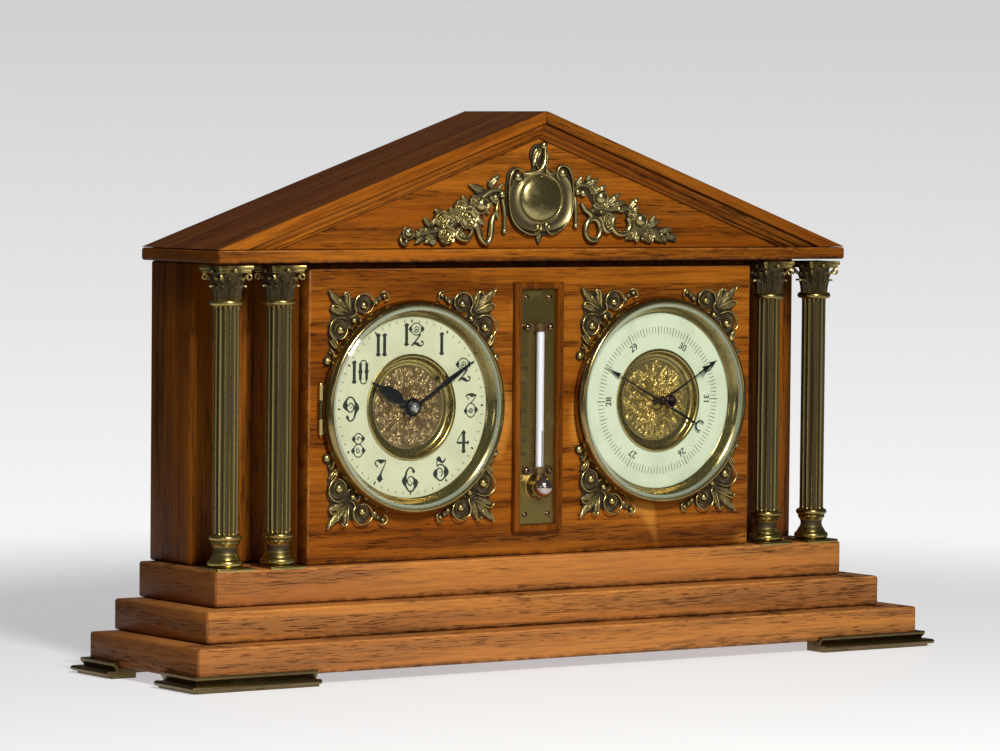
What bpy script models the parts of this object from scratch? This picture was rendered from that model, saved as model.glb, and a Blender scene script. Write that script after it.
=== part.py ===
"""Barometer clock: an oak temple front with brass columns, a timepiece, an aneroid barometer and a thermometer.

Metres, +Z up, the dials face -Y. The origin is on the floor under the middle of the base.
A place is given as (across, up, forward): across from the middle, up from the floor, and forward
from the flat back of the case. The front frame turns those three into X, Z and -Y.
"""

import math

import bmesh
import bpy
from mathutils import Matrix, Vector

# Gaps, cuts and facets
SEAT = 0.0003
RUNNING_GAP = 0.0003
OVERRUN = 0.002
WELD = 0.000002
SHARP_ANGLE = math.radians(35)
FLAT_ANGLE = math.radians(0.05)
ROUND_STEPS = 26
DISH_STEPS = 22
FINE_STEPS = 20
COLUMN_STEPS = 12
SMALL_STEPS = 10
TINY_STEPS = 8
CAPSULE_STEPS = 14
BUD_STEPS = 5
ARRIS = 0.0012
ARRIS_STEPS = 2

# Stepped base
FLOOR_GAP = 0.0060
LOWER_STEP_HEIGHT = 0.0160
MIDDLE_STEP_HEIGHT = 0.0163
UPPER_STEP_HEIGHT = 0.0187
STEP_SIDE_INSET = 0.0147
STEP_FRONT_INSET = 0.0158

# Case
CASE_SIDE_INSET = 0.0065
CASE_DEPTH = 0.0392
CASE_WALL = 0.0100
CASE_SIDE_REACH = 0.0061
BREAKFRONT_SIDE_MARGIN = 0.0068
PANEL_FORWARD = 0.0696
PANEL_THICKNESS = 0.0100
PANEL_TOP_GAP = 0.0031
DIAL_FOOT_MARGIN = 0.0179
DIAL_HEAD_MARGIN = 0.0132
DIAL_SIDE_GAP = 0.0084
BACK_BOARD_THICKNESS = 0.0060

# Cornice and pediment
CORNICE_SIDE_PROJECTION = 0.0063
CORNICE_FRONT_PROJECTION = 0.0080
CORNICE_THICKNESS = 0.0066
CORNICE_BACK = 0.0003
FINIAL_HEADROOM = 0.01598
ROOF_BAND = 0.0064
RAKE_BAND = 0.0079
RAKE_PROJECTION = 0.0052
RAKE_TAIL_SHARE = 0.2
TYMPANUM_THICKNESS = 0.0080
PEDIMENT_BACK_INSET = 0.0060

# Columns
COLUMN_SIDE_GAP = 0.00505
COLUMN_SPACING = 0.0107
COLUMN_SETBACK = 0.0038
COLUMN_FRONT_MARGIN = 0.00025
PLINTH_SIZE = 0.0215
PLINTH_HEIGHT = 0.0018
TORUS_RADIUS = 0.0095
TORUS_HEIGHT = 0.0042
SCOTIA_RADIUS = 0.0059
SCOTIA_HEIGHT = 0.0094
RING_RADIUS = 0.0086
RING_HEIGHT = 0.0034
SHAFT_RADIUS = 0.0068
FLUTES = 14
FLUTE_DEPTH = 0.0008
ASTRAGAL_RADIUS = 0.0092
ASTRAGAL_HEIGHT = 0.0034
CAPITAL_HEIGHT = 0.0140
CAPITAL_NECK_RADIUS = 0.0064
CAPITAL_LIP_RADIUS = 0.0088
ABACUS_SIZE = 0.0215
ABACUS_HEIGHT = 0.0035
ABACUS_HOLLOW = 0.0022
LEAF_CURL = 0.0026
LEAVES_PER_ROW = 8
LEAF_POINTS = 2
CAPITAL_RING_SHARES = (
    (0.00, 0.0, 0.2, 0),
    (0.42, 0.1, 1.0, 0),
    (0.46, 0.1, 0.4, 1),
    (0.78, 0.4, 1.2, 1),
    (0.84, 0.6, 0.3, 1),
    (1.00, 1.0, 0.0, 1),
)
VOLUTE_RADIUS = 0.0026
VOLUTE_WIDTH = 0.0026
VOLUTE_INSET = 0.0042

# Foot mouldings
FOOT_TOP = 0.0084
FOOT_PROJECTION = 0.0074
FOOT_LIP = 0.0035
FOOT_SEAT_DEPTH = 0.0100
FOOT_FRONT_ARM = 0.0700
FOOT_SIDE_ARM = 0.0310
FOOT_BASE_INSET = 0.0046
FOOT_CAVETTO_SHARES = (0.80, 0.45)
FOOT_BEAD_SHARE = 0.33
FOOT_PLINTH_SHARE = 0.19

# Dials and their drums
FLANGE_LAP = 0.0025
FLANGE_THICKNESS = 0.0008
LEDGE_WALL = 0.0010
LEDGE_THICKNESS = 0.0012
DRUM_RADIUS = 0.0470
DRUM_WALL = 0.0010
DRUM_TAIL_BACK = 0.0005
DRUM_PLATE_BACK = 0.0160
DIAL_LAP = 0.0030
DIAL_THICKNESS = 0.0010
BEZEL_FOOT_LAP = 0.0025
BEZEL_BULGE = 0.0010
BEZEL_HEIGHT = 0.0073
BEZEL_BULGE_HEIGHT = 0.0042
BEZEL_FOOT_HEIGHT = 0.0010
BEZEL_LIP_LAP = 0.0004
BEZEL_LIP_THICKNESS = 0.0008
SIGHT_LAP = 0.0021
SIGHT_HEIGHT = 0.0047
GLASS_THICKNESS = 0.0020
GLASS_EDGE_THICKNESS = 0.0010
GLASS_BEVEL = 0.0035
CENTRE_RADIUS = 0.0269
CENTRE_RIM = 0.0013
CENTRE_RIM_HEIGHT = 0.0006
CENTRE_DEPTH = 0.0040
CENTRE_WALL = 0.0008
COVE_RADIUS = 0.0022

# Bezel hinge, at nine o'clock on the timepiece
HINGE_GAP = 0.0004
HINGE_RADIUS = 0.0013
HINGE_PIN_RADIUS = 0.0006
HINGE_KNUCKLE_HALF = 0.0047
HINGE_LUG_LENGTH = 0.0080
HINGE_LEAF_REACH = 0.0034
HINGE_PIN_SPARE = 0.0010

# Movement
PLATE_THICKNESS = 0.0020
FRONT_PLATE_DEPTH = 0.0111
BACK_PLATE_DEPTH = 0.0406
BACK_PLATE_MARGIN = 0.0120
PILLARS = 3
PILLAR_RADIUS = 0.0022
PILLAR_INSET = 0.0050
ARBOR_RADIUS = 0.0016
WHEEL_THICKNESS = 0.0010
TOOTH_ROOT_SHARE = 0.75
TOOTH_TIP_SHARE = 0.45
TOOTH_CREST_SHARE = 0.06
MOTION_CENTRES = 0.0120
MOTION_ANGLE = math.radians(40)
CANNON_LEAVES = 8
MINUTE_WHEEL_TEETH = 24
MINUTE_PINION_LEAVES = 7
HOUR_WHEEL_TEETH = 28
CANNON_DEPTH = 0.0080
CANNON_LENGTH = 0.0018
MINUTE_WHEEL_DEPTH = 0.0076
MINUTE_PINION_LENGTH = 0.0024
HOUR_WHEEL_DEPTH = 0.0058
HOUR_PIPE_WALL = 0.0007
STUD_RADIUS = 0.0008
BARREL_CENTRES = 0.0200
BARREL_ANGLE = math.radians(-90)
BARREL_TEETH = 42
CENTRE_PINION_LEAVES = 7
BARREL_DRUM_RADIUS = 0.0154
BARREL_DEPTH = 0.0356
BARREL_LENGTH = 0.0180
BARREL_HUB_RADIUS = 0.0040
BARREL_HUB_LENGTH = 0.0015
GREAT_WHEEL_THICKNESS = 0.0020
CENTRE_PINION_LENGTH = 0.0030
KEY_ARBOR_RADIUS = 0.0015
KEY_BOSS_RADIUS = 0.0032
KEY_BOSS_LENGTH = 0.0030
KEY_WAIST_SHARE = 0.55
KEY_WING_SPAN = 0.0200
KEY_WING_DEPTH = 0.0080
KEY_WING_THICKNESS = 0.0018
KEY_BACK = 0.0030
KNOB_RADIUS = 0.0050
KNOB_LENGTH = 0.0080
KNOB_BACK = 0.0040
KNOB_FLOOR = 0.0020
KNOB_COLLAR_SHARE = 0.7

# Hands of the timepiece
HAND_THICKNESS = 0.0007
HOUR_HAND_LIFT = 0.0020
MINUTE_HAND_LIFT = 0.0036
HOUR_HAND_LENGTH = 0.0300
MINUTE_HAND_CLEARANCE = 0.0024
HOUR_HUB_RADIUS = 0.0045
MINUTE_HUB_RADIUS = 0.0040
HOUR_LEAF_WIDTH = 0.0110
MINUTE_BLADE_WIDTH = 0.0018
HAND_TIP_WIDTH = 0.0006
HAND_NECK_WIDTH = 0.0018
HAND_ROOT_SHARE = 0.8
HOUR_LEAF_SHARES = ((0.30, 0.38), (1.00, 0.48), (0.90, 0.60), (0.35, 0.76), (0.12, 0.88))
ARBOR_SHOULDER_RADIUS = 0.0025
ARBOR_SHOULDER_LENGTH = 0.0003
CAP_RADIUS = 0.0029
CAP_HEIGHT = 0.0015
MINUTE_HAND_ANGLE = math.radians(57.7)
HOUR_HAND_ANGLE = math.radians(-62.0)

# Barometer
ANEROID_DEPTH = 0.0296
ANEROID_SCREW_RADIUS = 0.0040
ANEROID_SCREW_HEIGHT = 0.0016
CAPSULE_RADIUS = 0.0240
CAPSULE_DEPTH = 0.0236
CAPSULE_THICKNESS = 0.0050
CAPSULE_RIPPLES = 3
CAPSULE_RIPPLE = 0.0006
CAPSULE_POST_RADIUS = 0.0040
CAPSULE_PILLAR_RADIUS = 0.0020
CAPSULE_PILLAR_LENGTH = 0.0060
STAFF_RADIUS = 0.0008
PRESSURE_HAND_LIFT = 0.0020
PRESSURE_HAND_CLEARANCE = 0.0056
PRESSURE_TAIL_LENGTH = 0.0300
PRESSURE_HUB_RADIUS = 0.0020
PRESSURE_HUB_HEIGHT = 0.0009
PRESSURE_ARM_WIDTH = 0.0009
PRESSURE_ARROW_LENGTH = 0.0120
PRESSURE_ARROW_WIDTH = 0.0036
CRESCENT_RADIUS = 0.0028
CRESCENT_SHARE = 0.78
BARB_SHARE = 0.20
NEEDLE_SHARE = 0.50
PRESSURE_HAND_ANGLE = math.radians(-62.5)
SET_HAND_LIFT = 0.0053
SET_HAND_CLEARANCE = 0.0049
SET_ARROW_LENGTH = 0.0117
SET_ARROW_WIDTH = 0.0048
SET_HAND_ANGLE = math.radians(59.8)
SET_HAND_THICKNESS = 0.0005
SET_BOSS_RADIUS = 0.0026
SET_BOSS_LENGTH = 0.0020
SET_SPINDLE_RADIUS = 0.0010
SET_KNOB_RADIUS = 0.0038
SET_KNOB_LENGTH = 0.0034
KNOB_CROWN_SHARE = 0.88
SET_NECK_RADIUS = 0.0018
SET_NECK_LENGTH = 0.0016
SCREW_WINDOW_RADIUS = 0.0090

# Thermometer
THERMO_HALF_WIDTH = 0.0158
THERMO_FOOT_MARGIN = 0.0123
THERMO_HEAD_MARGIN = 0.0110
THERMO_MEMBER = 0.0039
THERMO_FRAME_DEPTH = 0.0042
SCALE_PLATE_THICKNESS = 0.0007
TUBE_LIFT = 0.0038
TUBE_RADIUS = 0.0021
TUBE_TOP_DROP = 0.0234
BULB_RISE = 0.0247
BULB_RADIUS = 0.0048
CLIP_HALF_WIDTH = 0.0092
CLIP_HEIGHT = 0.0044
CLIP_THICKNESS = 0.0005
UPPER_CLIP_DROP = 0.0008
LOWER_CLIP_GAP = 0.0035

# Spandrel mounts
SPANDREL_TUCK = 0.0028
SPANDREL_RISE = 0.0062
SPANDREL_REACH = 0.0385
SPANDREL_PLATE = 0.0014
SPANDREL_RIB = 0.0010
SPANDREL_BALL = 0.0026
SPANDREL_OUTLINE_SHARES = (
    (0.00, 0.00),
    (0.16, 0.03),
    (0.30, 0.02),
    (0.34, 0.14),
    (0.47, 0.10),
    (0.60, 0.06),
    (0.72, 0.13),
    (0.86, 0.05),
    (1.00, 0.08),
    (0.98, 0.17),
    (0.84, 0.20),
    (0.74, 0.30),
    (0.62, 0.35),
    (0.48, 0.38),
    (0.46, 0.46),
)
SPANDREL_LEAN_SHARE = 0.08
SPANDREL_MIDDLE_SHARE = 0.5
SPANDREL_SCROLL_SHARES = (0.585, 0.205, 0.120)
SPANDREL_BALL_SHARES = ((0.43, 0.41, 1.0), (0.77, 0.17, 0.7), (0.93, 0.12, 0.6))

# Pediment mounts
CARTOUCHE_FOOT_GAP = 0.00246
CARTOUCHE_WIDTH = 0.0430
CARTOUCHE_PLATE = 0.0016
CARTOUCHE_OUTLINE_SHARES = (
    (0.00, 0.24),
    (0.22, 0.26),
    (0.36, 0.36),
    (0.46, 0.28),
    (0.50, 0.08),
    (0.48, -0.10),
    (0.40, -0.26),
    (0.28, -0.38),
    (0.14, -0.46),
    (0.00, -0.58),
)
BOSS_RADIUS = 0.0126
BOSS_HEIGHT = 0.0046
CARTOUCHE_VOLUTE = 0.0030
CARTOUCHE_VOLUTE_SHARES = (0.335, 0.28)
STEM_RADIUS = 0.0018
STEM_SHARES = ((0.00, 0.20), (0.05, 0.38), (0.00, 0.50), (0.02, 0.64))
STEM_LEAF_ANGLE = 150
STEM_LEAF_LENGTH = 0.0075
FINIAL_RADIUS = 0.0025
GARLAND_REACH = 0.0700
GARLAND_GAP = 0.0020
GARLAND_PLATE = 0.0014
GARLAND_TWIG = 0.0008
WIRE_LIFT = 0.0002
BUD_RISE_SHARE = 0.7
LEAF_HALF_SHARES = ((0.22, 0.30), (0.20, 0.65))
GARLAND_STEM = 0.0013
GARLAND_LEFT_STEM_SHARES = ((0.03, 0.42), (0.19, 0.36), (0.33, 0.24), (0.54, 0.15), (0.72, 0.14), (0.90, 0.08))
GARLAND_LEFT_BALL_SHARES = (
    (0.03, 0.37, 0.035),
    (0.08, 0.34, 0.035),
    (0.22, 0.30, 0.070),
    (0.34, 0.20, 0.080),
    (0.40, 0.29, 0.045),
    (0.56, 0.19, 0.065),
    (0.54, 0.09, 0.075),
    (0.72, 0.14, 0.045),
    (0.88, 0.08, 0.055),
)
GARLAND_LEFT_LEAF_SHARES = (
    (0.06, 0.44, 0.13, 120),
    (0.20, 0.40, 0.14, 50),
    (0.68, 0.15, 0.12, 60),
    (0.72, 0.12, 0.12, 20),
    (0.66, 0.10, 0.12, -30),
    (0.90, 0.09, 0.10, -40),
)
GARLAND_LEFT_LOOP_SHARES = ((0.10, 0.20), (0.15, 0.04), (0.20, 0.02), (0.24, 0.06), (0.24, 0.16))
GARLAND_RIGHT_STEM_SHARES = ((0.03, 0.45), (0.17, 0.44), (0.26, 0.30), (0.44, 0.24), (0.62, 0.16), (0.92, 0.05))
GARLAND_RIGHT_BALL_SHARES = (
    (0.03, 0.40, 0.035),
    (0.08, 0.38, 0.035),
    (0.24, 0.36, 0.070),
    (0.38, 0.33, 0.050),
    (0.28, 0.17, 0.050),
    (0.62, 0.18, 0.070),
    (0.74, 0.12, 0.050),
    (0.88, 0.07, 0.055),
)
GARLAND_RIGHT_LEAF_SHARES = (
    (0.04, 0.46, 0.12, 110),
    (0.16, 0.46, 0.13, 60),
    (0.34, 0.30, 0.13, 70),
    (0.50, 0.26, 0.14, 50),
    (0.70, 0.13, 0.13, 30),
    (0.86, 0.07, 0.13, -10),
    (0.56, 0.13, 0.10, -50),
)
GARLAND_RIGHT_LOOP_SHARES = (
    (0.17, 0.22),
    (0.10, 0.14),
    (0.12, 0.05),
    (0.17, 0.03),
    (0.22, 0.06),
    (0.23, 0.16),
)
DROP_LENGTH = 0.0150
DROP_TOP = 0.0250
DROP_RADIUS = 0.0009
DROP_BEAD = 0.0013

# Colours as red, green and blue, then roughness and metallic
OAK = ((0.42, 0.17, 0.05), 0.35, 0.0)
OAK_DARK = ((0.17, 0.06, 0.02), 0.40, 0.0)
BRASS = ((0.55, 0.42, 0.16), 0.35, 1.0)
BRASS_DARK = ((0.33, 0.26, 0.13), 0.42, 1.0)
IVORY = ((0.80, 0.78, 0.62), 0.30, 0.0)
MINT_WHITE = ((0.74, 0.80, 0.70), 0.30, 0.0)
BLUED_STEEL = ((0.03, 0.03, 0.04), 0.30, 0.8)
STEEL = ((0.50, 0.50, 0.50), 0.30, 1.0)
GLASS = ((0.85, 0.90, 0.88), 0.05, 0.0)

# Places worked out from the sizes above
COLUMN_HALF = max(PLINTH_SIZE, ABACUS_SIZE) / 2
DRUM_BORE = DRUM_RADIUS - DRUM_WALL
DIAL_RADIUS = DRUM_RADIUS + DIAL_LAP
LEDGE_RADIUS = DIAL_RADIUS + LEDGE_WALL
FLANGE_RADIUS = LEDGE_RADIUS + FLANGE_LAP
BEZEL_FOOT_RADIUS = FLANGE_RADIUS + BEZEL_FOOT_LAP
BEZEL_RADIUS = BEZEL_FOOT_RADIUS + BEZEL_BULGE
BEZEL_LIP_RADIUS = DIAL_RADIUS - BEZEL_LIP_LAP
SIGHT_RADIUS = DIAL_RADIUS - SIGHT_LAP
HINGE_OFFSET = BEZEL_RADIUS + HINGE_GAP
BACK_PLATE_RADIUS = DRUM_BORE - BACK_PLATE_MARGIN
PILLAR_CIRCLE = BACK_PLATE_RADIUS - PILLAR_INSET
MINUTE_HAND_LENGTH = SIGHT_RADIUS - MINUTE_HAND_CLEARANCE
SET_HAND_LENGTH = SIGHT_RADIUS - SET_HAND_CLEARANCE
PRESSURE_HAND_LENGTH = SIGHT_RADIUS - PRESSURE_HAND_CLEARANCE
SPANDREL_ACROSS = BEZEL_RADIUS - SPANDREL_TUCK
SPANDREL_UP = BEZEL_RADIUS + SPANDREL_RISE
DIAL_SPREAD = THERMO_HALF_WIDTH + DIAL_SIDE_GAP + BEZEL_RADIUS
BREAKFRONT_WIDTH = 2 * (DIAL_SPREAD + BEZEL_RADIUS + BREAKFRONT_SIDE_MARGIN)
COLUMN_INNER_SPREAD = BREAKFRONT_WIDTH / 2 + COLUMN_SIDE_GAP + COLUMN_HALF
COLUMN_OUTER_SPREAD = COLUMN_INNER_SPREAD + COLUMN_SPACING + 2 * COLUMN_HALF
COLUMN_FORWARD = PANEL_FORWARD - COLUMN_SETBACK
CASE_WIDTH = 2 * (COLUMN_OUTER_SPREAD + CASE_SIDE_REACH)
CORNICE_WIDTH = CASE_WIDTH + 2 * CORNICE_SIDE_PROJECTION
CORNICE_FORWARD = PANEL_FORWARD + CORNICE_FRONT_PROJECTION
UPPER_STEP_WIDTH = CASE_WIDTH + 2 * CASE_SIDE_INSET
BASE_WIDTH = UPPER_STEP_WIDTH + 4 * STEP_SIDE_INSET
BASE_DEPTH = COLUMN_FORWARD + COLUMN_HALF + COLUMN_FRONT_MARGIN + 2 * STEP_FRONT_INSET
BACK = BASE_DEPTH / 2
LOWER_STEP_TOP = FLOOR_GAP + LOWER_STEP_HEIGHT
MIDDLE_STEP_TOP = LOWER_STEP_TOP + SEAT + MIDDLE_STEP_HEIGHT
UPPER_STEP_TOP = MIDDLE_STEP_TOP + SEAT + UPPER_STEP_HEIGHT
CASE_BOTTOM = UPPER_STEP_TOP + SEAT
DIAL_HEIGHT = CASE_BOTTOM + DIAL_FOOT_MARGIN + SPANDREL_UP
CASE_TOP = DIAL_HEIGHT + SPANDREL_UP + DIAL_HEAD_MARGIN
THERMO_BOTTOM = CASE_BOTTOM + THERMO_FOOT_MARGIN
THERMO_TOP = CASE_TOP - THERMO_HEAD_MARGIN
TUBE_TOP = THERMO_TOP - TUBE_TOP_DROP
TUBE_FORWARD = PANEL_FORWARD + TUBE_LIFT
BULB_HEIGHT = THERMO_BOTTOM + BULB_RISE
BULB_FORWARD = PANEL_FORWARD + 2 * SEAT + SCALE_PLATE_THICKNESS + BULB_RADIUS
UPPER_CLIP_HEIGHT = TUBE_TOP - UPPER_CLIP_DROP
LOWER_CLIP_HEIGHT = BULB_HEIGHT + BULB_RADIUS + LOWER_CLIP_GAP
CHEEK_FORWARD = PANEL_FORWARD - PANEL_THICKNESS - SEAT
CORNICE_BOTTOM = CASE_TOP + SEAT
CORNICE_TOP = CORNICE_BOTTOM + CORNICE_THICKNESS
PEDIMENT_BOTTOM = CORNICE_TOP + SEAT
CARTOUCHE_HEIGHT = PEDIMENT_BOTTOM + CARTOUCHE_FOOT_GAP - CARTOUCHE_OUTLINE_SHARES[-1][1] * CARTOUCHE_WIDTH
FINIAL_HEIGHT = CARTOUCHE_HEIGHT + STEM_SHARES[-1][1] * CARTOUCHE_WIDTH
PEDIMENT_RISE = FINIAL_HEIGHT + FINIAL_RADIUS + FINIAL_HEADROOM - PEDIMENT_BOTTOM
ROOF_APEX = PEDIMENT_BOTTOM + PEDIMENT_RISE
GARLAND_START = CARTOUCHE_WIDTH / 2 + GARLAND_GAP
FLANGE_BACK = PANEL_FORWARD + SEAT
FLANGE_FRONT = FLANGE_BACK + FLANGE_THICKNESS
DIAL_FRONT = FLANGE_FRONT - SEAT
DIAL_BACK = DIAL_FRONT - DIAL_THICKNESS
LEDGE_FRONT = DIAL_BACK - SEAT
BEZEL_BACK = FLANGE_FRONT + SEAT
BEZEL_FRONT = BEZEL_BACK + BEZEL_HEIGHT
GLASS_BACK = BEZEL_BACK + SIGHT_HEIGHT + SEAT
GLASS_FRONT = GLASS_BACK + GLASS_THICKNESS
GLASS_RADIUS = DIAL_RADIUS
HOUR_PIPE_BORE = ARBOR_RADIUS + RUNNING_GAP
HOUR_PIPE_RADIUS = HOUR_PIPE_BORE + HOUR_PIPE_WALL
FRONT_PLATE_BACK = PANEL_FORWARD - FRONT_PLATE_DEPTH
FRONT_PLATE_FRONT = FRONT_PLATE_BACK + PLATE_THICKNESS
BACK_PLATE_BACK = PANEL_FORWARD - BACK_PLATE_DEPTH
CANNON_BACK = PANEL_FORWARD - CANNON_DEPTH
MINUTE_WHEEL_BACK = PANEL_FORWARD - MINUTE_WHEEL_DEPTH
HOUR_WHEEL_BACK = PANEL_FORWARD - HOUR_WHEEL_DEPTH
BARREL_BACK = PANEL_FORWARD - BARREL_DEPTH
ANEROID_BACK = PANEL_FORWARD - ANEROID_DEPTH
CAPSULE_BACK = PANEL_FORWARD - CAPSULE_DEPTH
HOUR_HAND_FORWARD = PANEL_FORWARD + HOUR_HAND_LIFT
MINUTE_HAND_FORWARD = PANEL_FORWARD + MINUTE_HAND_LIFT
PRESSURE_HAND_FORWARD = PANEL_FORWARD + PRESSURE_HAND_LIFT
SET_HAND_FORWARD = PANEL_FORWARD + SET_HAND_LIFT
HINGE_FORWARD = BEZEL_BACK + SEAT
CANNON_RADIUS = MOTION_CENTRES * CANNON_LEAVES / (CANNON_LEAVES + MINUTE_WHEEL_TEETH)
MINUTE_WHEEL_RADIUS = MOTION_CENTRES - CANNON_RADIUS
MINUTE_PINION_RADIUS = MOTION_CENTRES * MINUTE_PINION_LEAVES / (MINUTE_PINION_LEAVES + HOUR_WHEEL_TEETH)
HOUR_WHEEL_RADIUS = MOTION_CENTRES - MINUTE_PINION_RADIUS
CENTRE_PINION_RADIUS = BARREL_CENTRES * CENTRE_PINION_LEAVES / (CENTRE_PINION_LEAVES + BARREL_TEETH)
GREAT_WHEEL_RADIUS = BARREL_CENTRES - CENTRE_PINION_RADIUS
GREAT_WHEEL_BACK = BARREL_BACK + BARREL_LENGTH - GREAT_WHEEL_THICKNESS
BARREL_PLACE = (BARREL_CENTRES * math.cos(BARREL_ANGLE), BARREL_CENTRES * math.sin(BARREL_ANGLE))
STUD_PLACE = (MOTION_CENTRES * math.cos(MOTION_ANGLE), MOTION_CENTRES * math.sin(MOTION_ANGLE))


def clear_scene():
    for item in list(bpy.data.objects):
        bpy.data.objects.remove(item)


def new_collection(name):
    collection = bpy.data.collections.new(name)
    bpy.context.scene.collection.children.link(collection)
    return collection


def material(name, look):
    colour, roughness, metallic = look
    made = bpy.data.materials.new(name)
    made.use_nodes = True
    shader = made.node_tree.nodes["Principled BSDF"]
    shader.inputs["Base Color"].default_value = (*colour, 1.0)
    shader.inputs["Roughness"].default_value = roughness
    shader.inputs["Metallic"].default_value = metallic
    return made


def frame(name, across, up, forward=0, turned_to_front=True):
    """An empty that carries pieces: its local X, Y and Z run across, up and forward."""
    empty = bpy.data.objects.new(name, None)
    empty.location = (across, BACK - forward, up)
    if turned_to_front:
        empty.rotation_euler = (math.pi / 2, 0, 0)
    PARTS.objects.link(empty)
    return empty


def helper(mesh):
    """A shape that is not a piece by itself: a cutter, or a lump that is joined into a piece."""
    item = bpy.data.objects.new("helper", mesh)
    item.hide_render = True
    item.display_type = "WIRE"
    CUTTERS.objects.link(item)
    return item


def settled(item):
    """The mesh of a helper as its modifiers leave it, with its caps welded and its faces turned out."""
    bpy.context.view_layer.update()
    graph = bpy.context.evaluated_depsgraph_get()
    mesh = bpy.data.meshes.new_from_object(item.evaluated_get(graph))
    bpy.data.objects.remove(item)
    mesh.materials.clear()
    shape = bmesh.new()
    shape.from_mesh(mesh)
    bmesh.ops.remove_doubles(shape, verts=shape.verts, dist=WELD)
    bmesh.ops.recalc_face_normals(shape, faces=shape.faces)
    shape.to_mesh(mesh)
    shape.free()
    return mesh


def combined(items, operation):
    """The first helper with the others joined to it, or cut out of it, one by one."""
    first = items[0]
    for item in items[1:]:
        step = first.modifiers.new(operation.lower(), "BOOLEAN")
        step.operation = operation
        step.solver = "EXACT"
        step.object = item
        mesh = settled(first)
        bpy.data.objects.remove(item)
        shape = bmesh.new()
        shape.from_mesh(mesh)
        bmesh.ops.dissolve_limit(shape, angle_limit=FLAT_ANGLE, verts=shape.verts, edges=shape.edges)
        shape.to_mesh(mesh)
        shape.free()
        first = helper(mesh)
    return first


def joined(*items):
    return combined(items, "UNION")


def cut(*items):
    return combined(items, "DIFFERENCE")


def piece(name, shape, look, carrier=None, at=(0, 0, 0), scale=(1, 1, 1)):
    """A named sub-part: a helper's shape, or a mesh shared with another piece, with its own material."""
    mesh = shape if isinstance(shape, bpy.types.Mesh) else settled(shape)
    mesh.shade_smooth()
    mesh.set_sharp_from_angle(angle=SHARP_ANGLE)
    item = bpy.data.objects.new(name, mesh)
    if not mesh.materials:
        mesh.materials.append(None)
    item.material_slots[0].link = "OBJECT"
    item.material_slots[0].material = material(name, look)
    item.parent = carrier
    item.location = at
    item.scale = scale
    PARTS.objects.link(item)
    return item


def block(low, high):
    """A box between two corners."""
    shape = bmesh.new()
    bmesh.ops.create_cube(shape, size=1)
    low, high = Vector(low), Vector(high)
    for point in shape.verts:
        point.co = (low + high) / 2 + point.co * (high - low)
    return from_bmesh(shape)


def from_bmesh(shape):
    mesh = bpy.data.meshes.new("helper")
    shape.to_mesh(mesh)
    shape.free()
    return helper(mesh)


def eased(item, width=ARRIS, steps=ARRIS_STEPS):
    """Rounds a helper's edges."""
    bevel = item.modifiers.new("arris", "BEVEL")
    bevel.limit_method = "ANGLE"
    bevel.width = width
    bevel.segments = steps
    return helper(settled(item))


def moved(item, by):
    item.data.transform(Matrix.Translation(by))
    return item


def spun(item, angle, axis="Z"):
    item.data.transform(Matrix.Rotation(angle, 4, axis))
    return item


def turned(profile, steps=ROUND_STEPS, ring=False):
    """A turned shape on local Z. The profile runs (radius, height) down its outer side."""
    shape = bmesh.new()
    points = [shape.verts.new((radius, 0, height)) for radius, height in profile]
    pairs = list(zip(points, points[1:]))
    if ring:
        pairs.append((points[-1], points[0]))
    for pair in pairs:
        shape.edges.new(pair)
    item = from_bmesh(shape)
    screw = item.modifiers.new("turned", "SCREW")
    screw.steps = steps
    screw.render_steps = steps
    screw.use_merge_vertices = True
    screw.merge_threshold = WELD
    return helper(settled(item))


def rod(radius, low, high, at=(0, 0), steps=SMALL_STEPS):
    """A round rod along local Z between two heights."""
    item = turned([(0, high), (radius, high), (radius, low), (0, low)], steps)
    return moved(item, (at[0], at[1], 0))


def ball(radius, at, squash=1.0, steps=8):
    """A ball, flattened along local Z by squash."""
    shape = bmesh.new()
    bmesh.ops.create_uvsphere(shape, u_segments=steps, v_segments=steps // 2 + 1, radius=radius)
    item = from_bmesh(shape)
    item.data.transform(Matrix.Diagonal((1, 1, squash, 1)))
    return moved(item, at)


def plate(outlines, low, high):
    """A flat plate on local Z from closed outlines: the first is its edge, the others are holes."""
    curve = bpy.data.curves.new("helper", "CURVE")
    curve.dimensions = "2D"
    curve.fill_mode = "BOTH"
    curve.extrude = (high - low) / 2
    for outline in outlines:
        spline = curve.splines.new("POLY")
        spline.points.add(len(outline) - 1)
        for point, (x, y) in zip(spline.points, outline):
            point.co = (x, y, 0, 1)
        spline.use_cyclic_u = True
    return moved(helper(settled(helper(curve))), (0, 0, (low + high) / 2))


def tube(points, radius, resolution=0):
    """A wire along points, four-sided unless its resolution asks for more."""
    curve = bpy.data.curves.new("helper", "CURVE")
    curve.dimensions = "3D"
    curve.bevel_depth = radius
    curve.bevel_resolution = resolution
    curve.use_fill_caps = True
    spline = curve.splines.new("POLY")
    spline.points.add(len(points) - 1)
    for point, place in zip(spline.points, points):
        point.co = (*place, 1)
    return helper(settled(helper(curve)))


def loft(rings, closed=False):
    """A solid through rings of matching points: one that meets itself, or one with flat ends."""
    shape = bmesh.new()
    rows = [[shape.verts.new(point) for point in ring] for ring in rings]
    pairs = list(zip(rows, rows[1:]))
    if closed:
        pairs.append((rows[-1], rows[0]))
    for row, following in pairs:
        for a, b, c, d in zip(row, row[1:] + row[:1], following[1:] + following[:1], following):
            shape.faces.new((a, b, c, d))
    if not closed:
        shape.faces.new(rows[0])
        shape.faces.new(rows[-1])
    return from_bmesh(shape)


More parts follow.
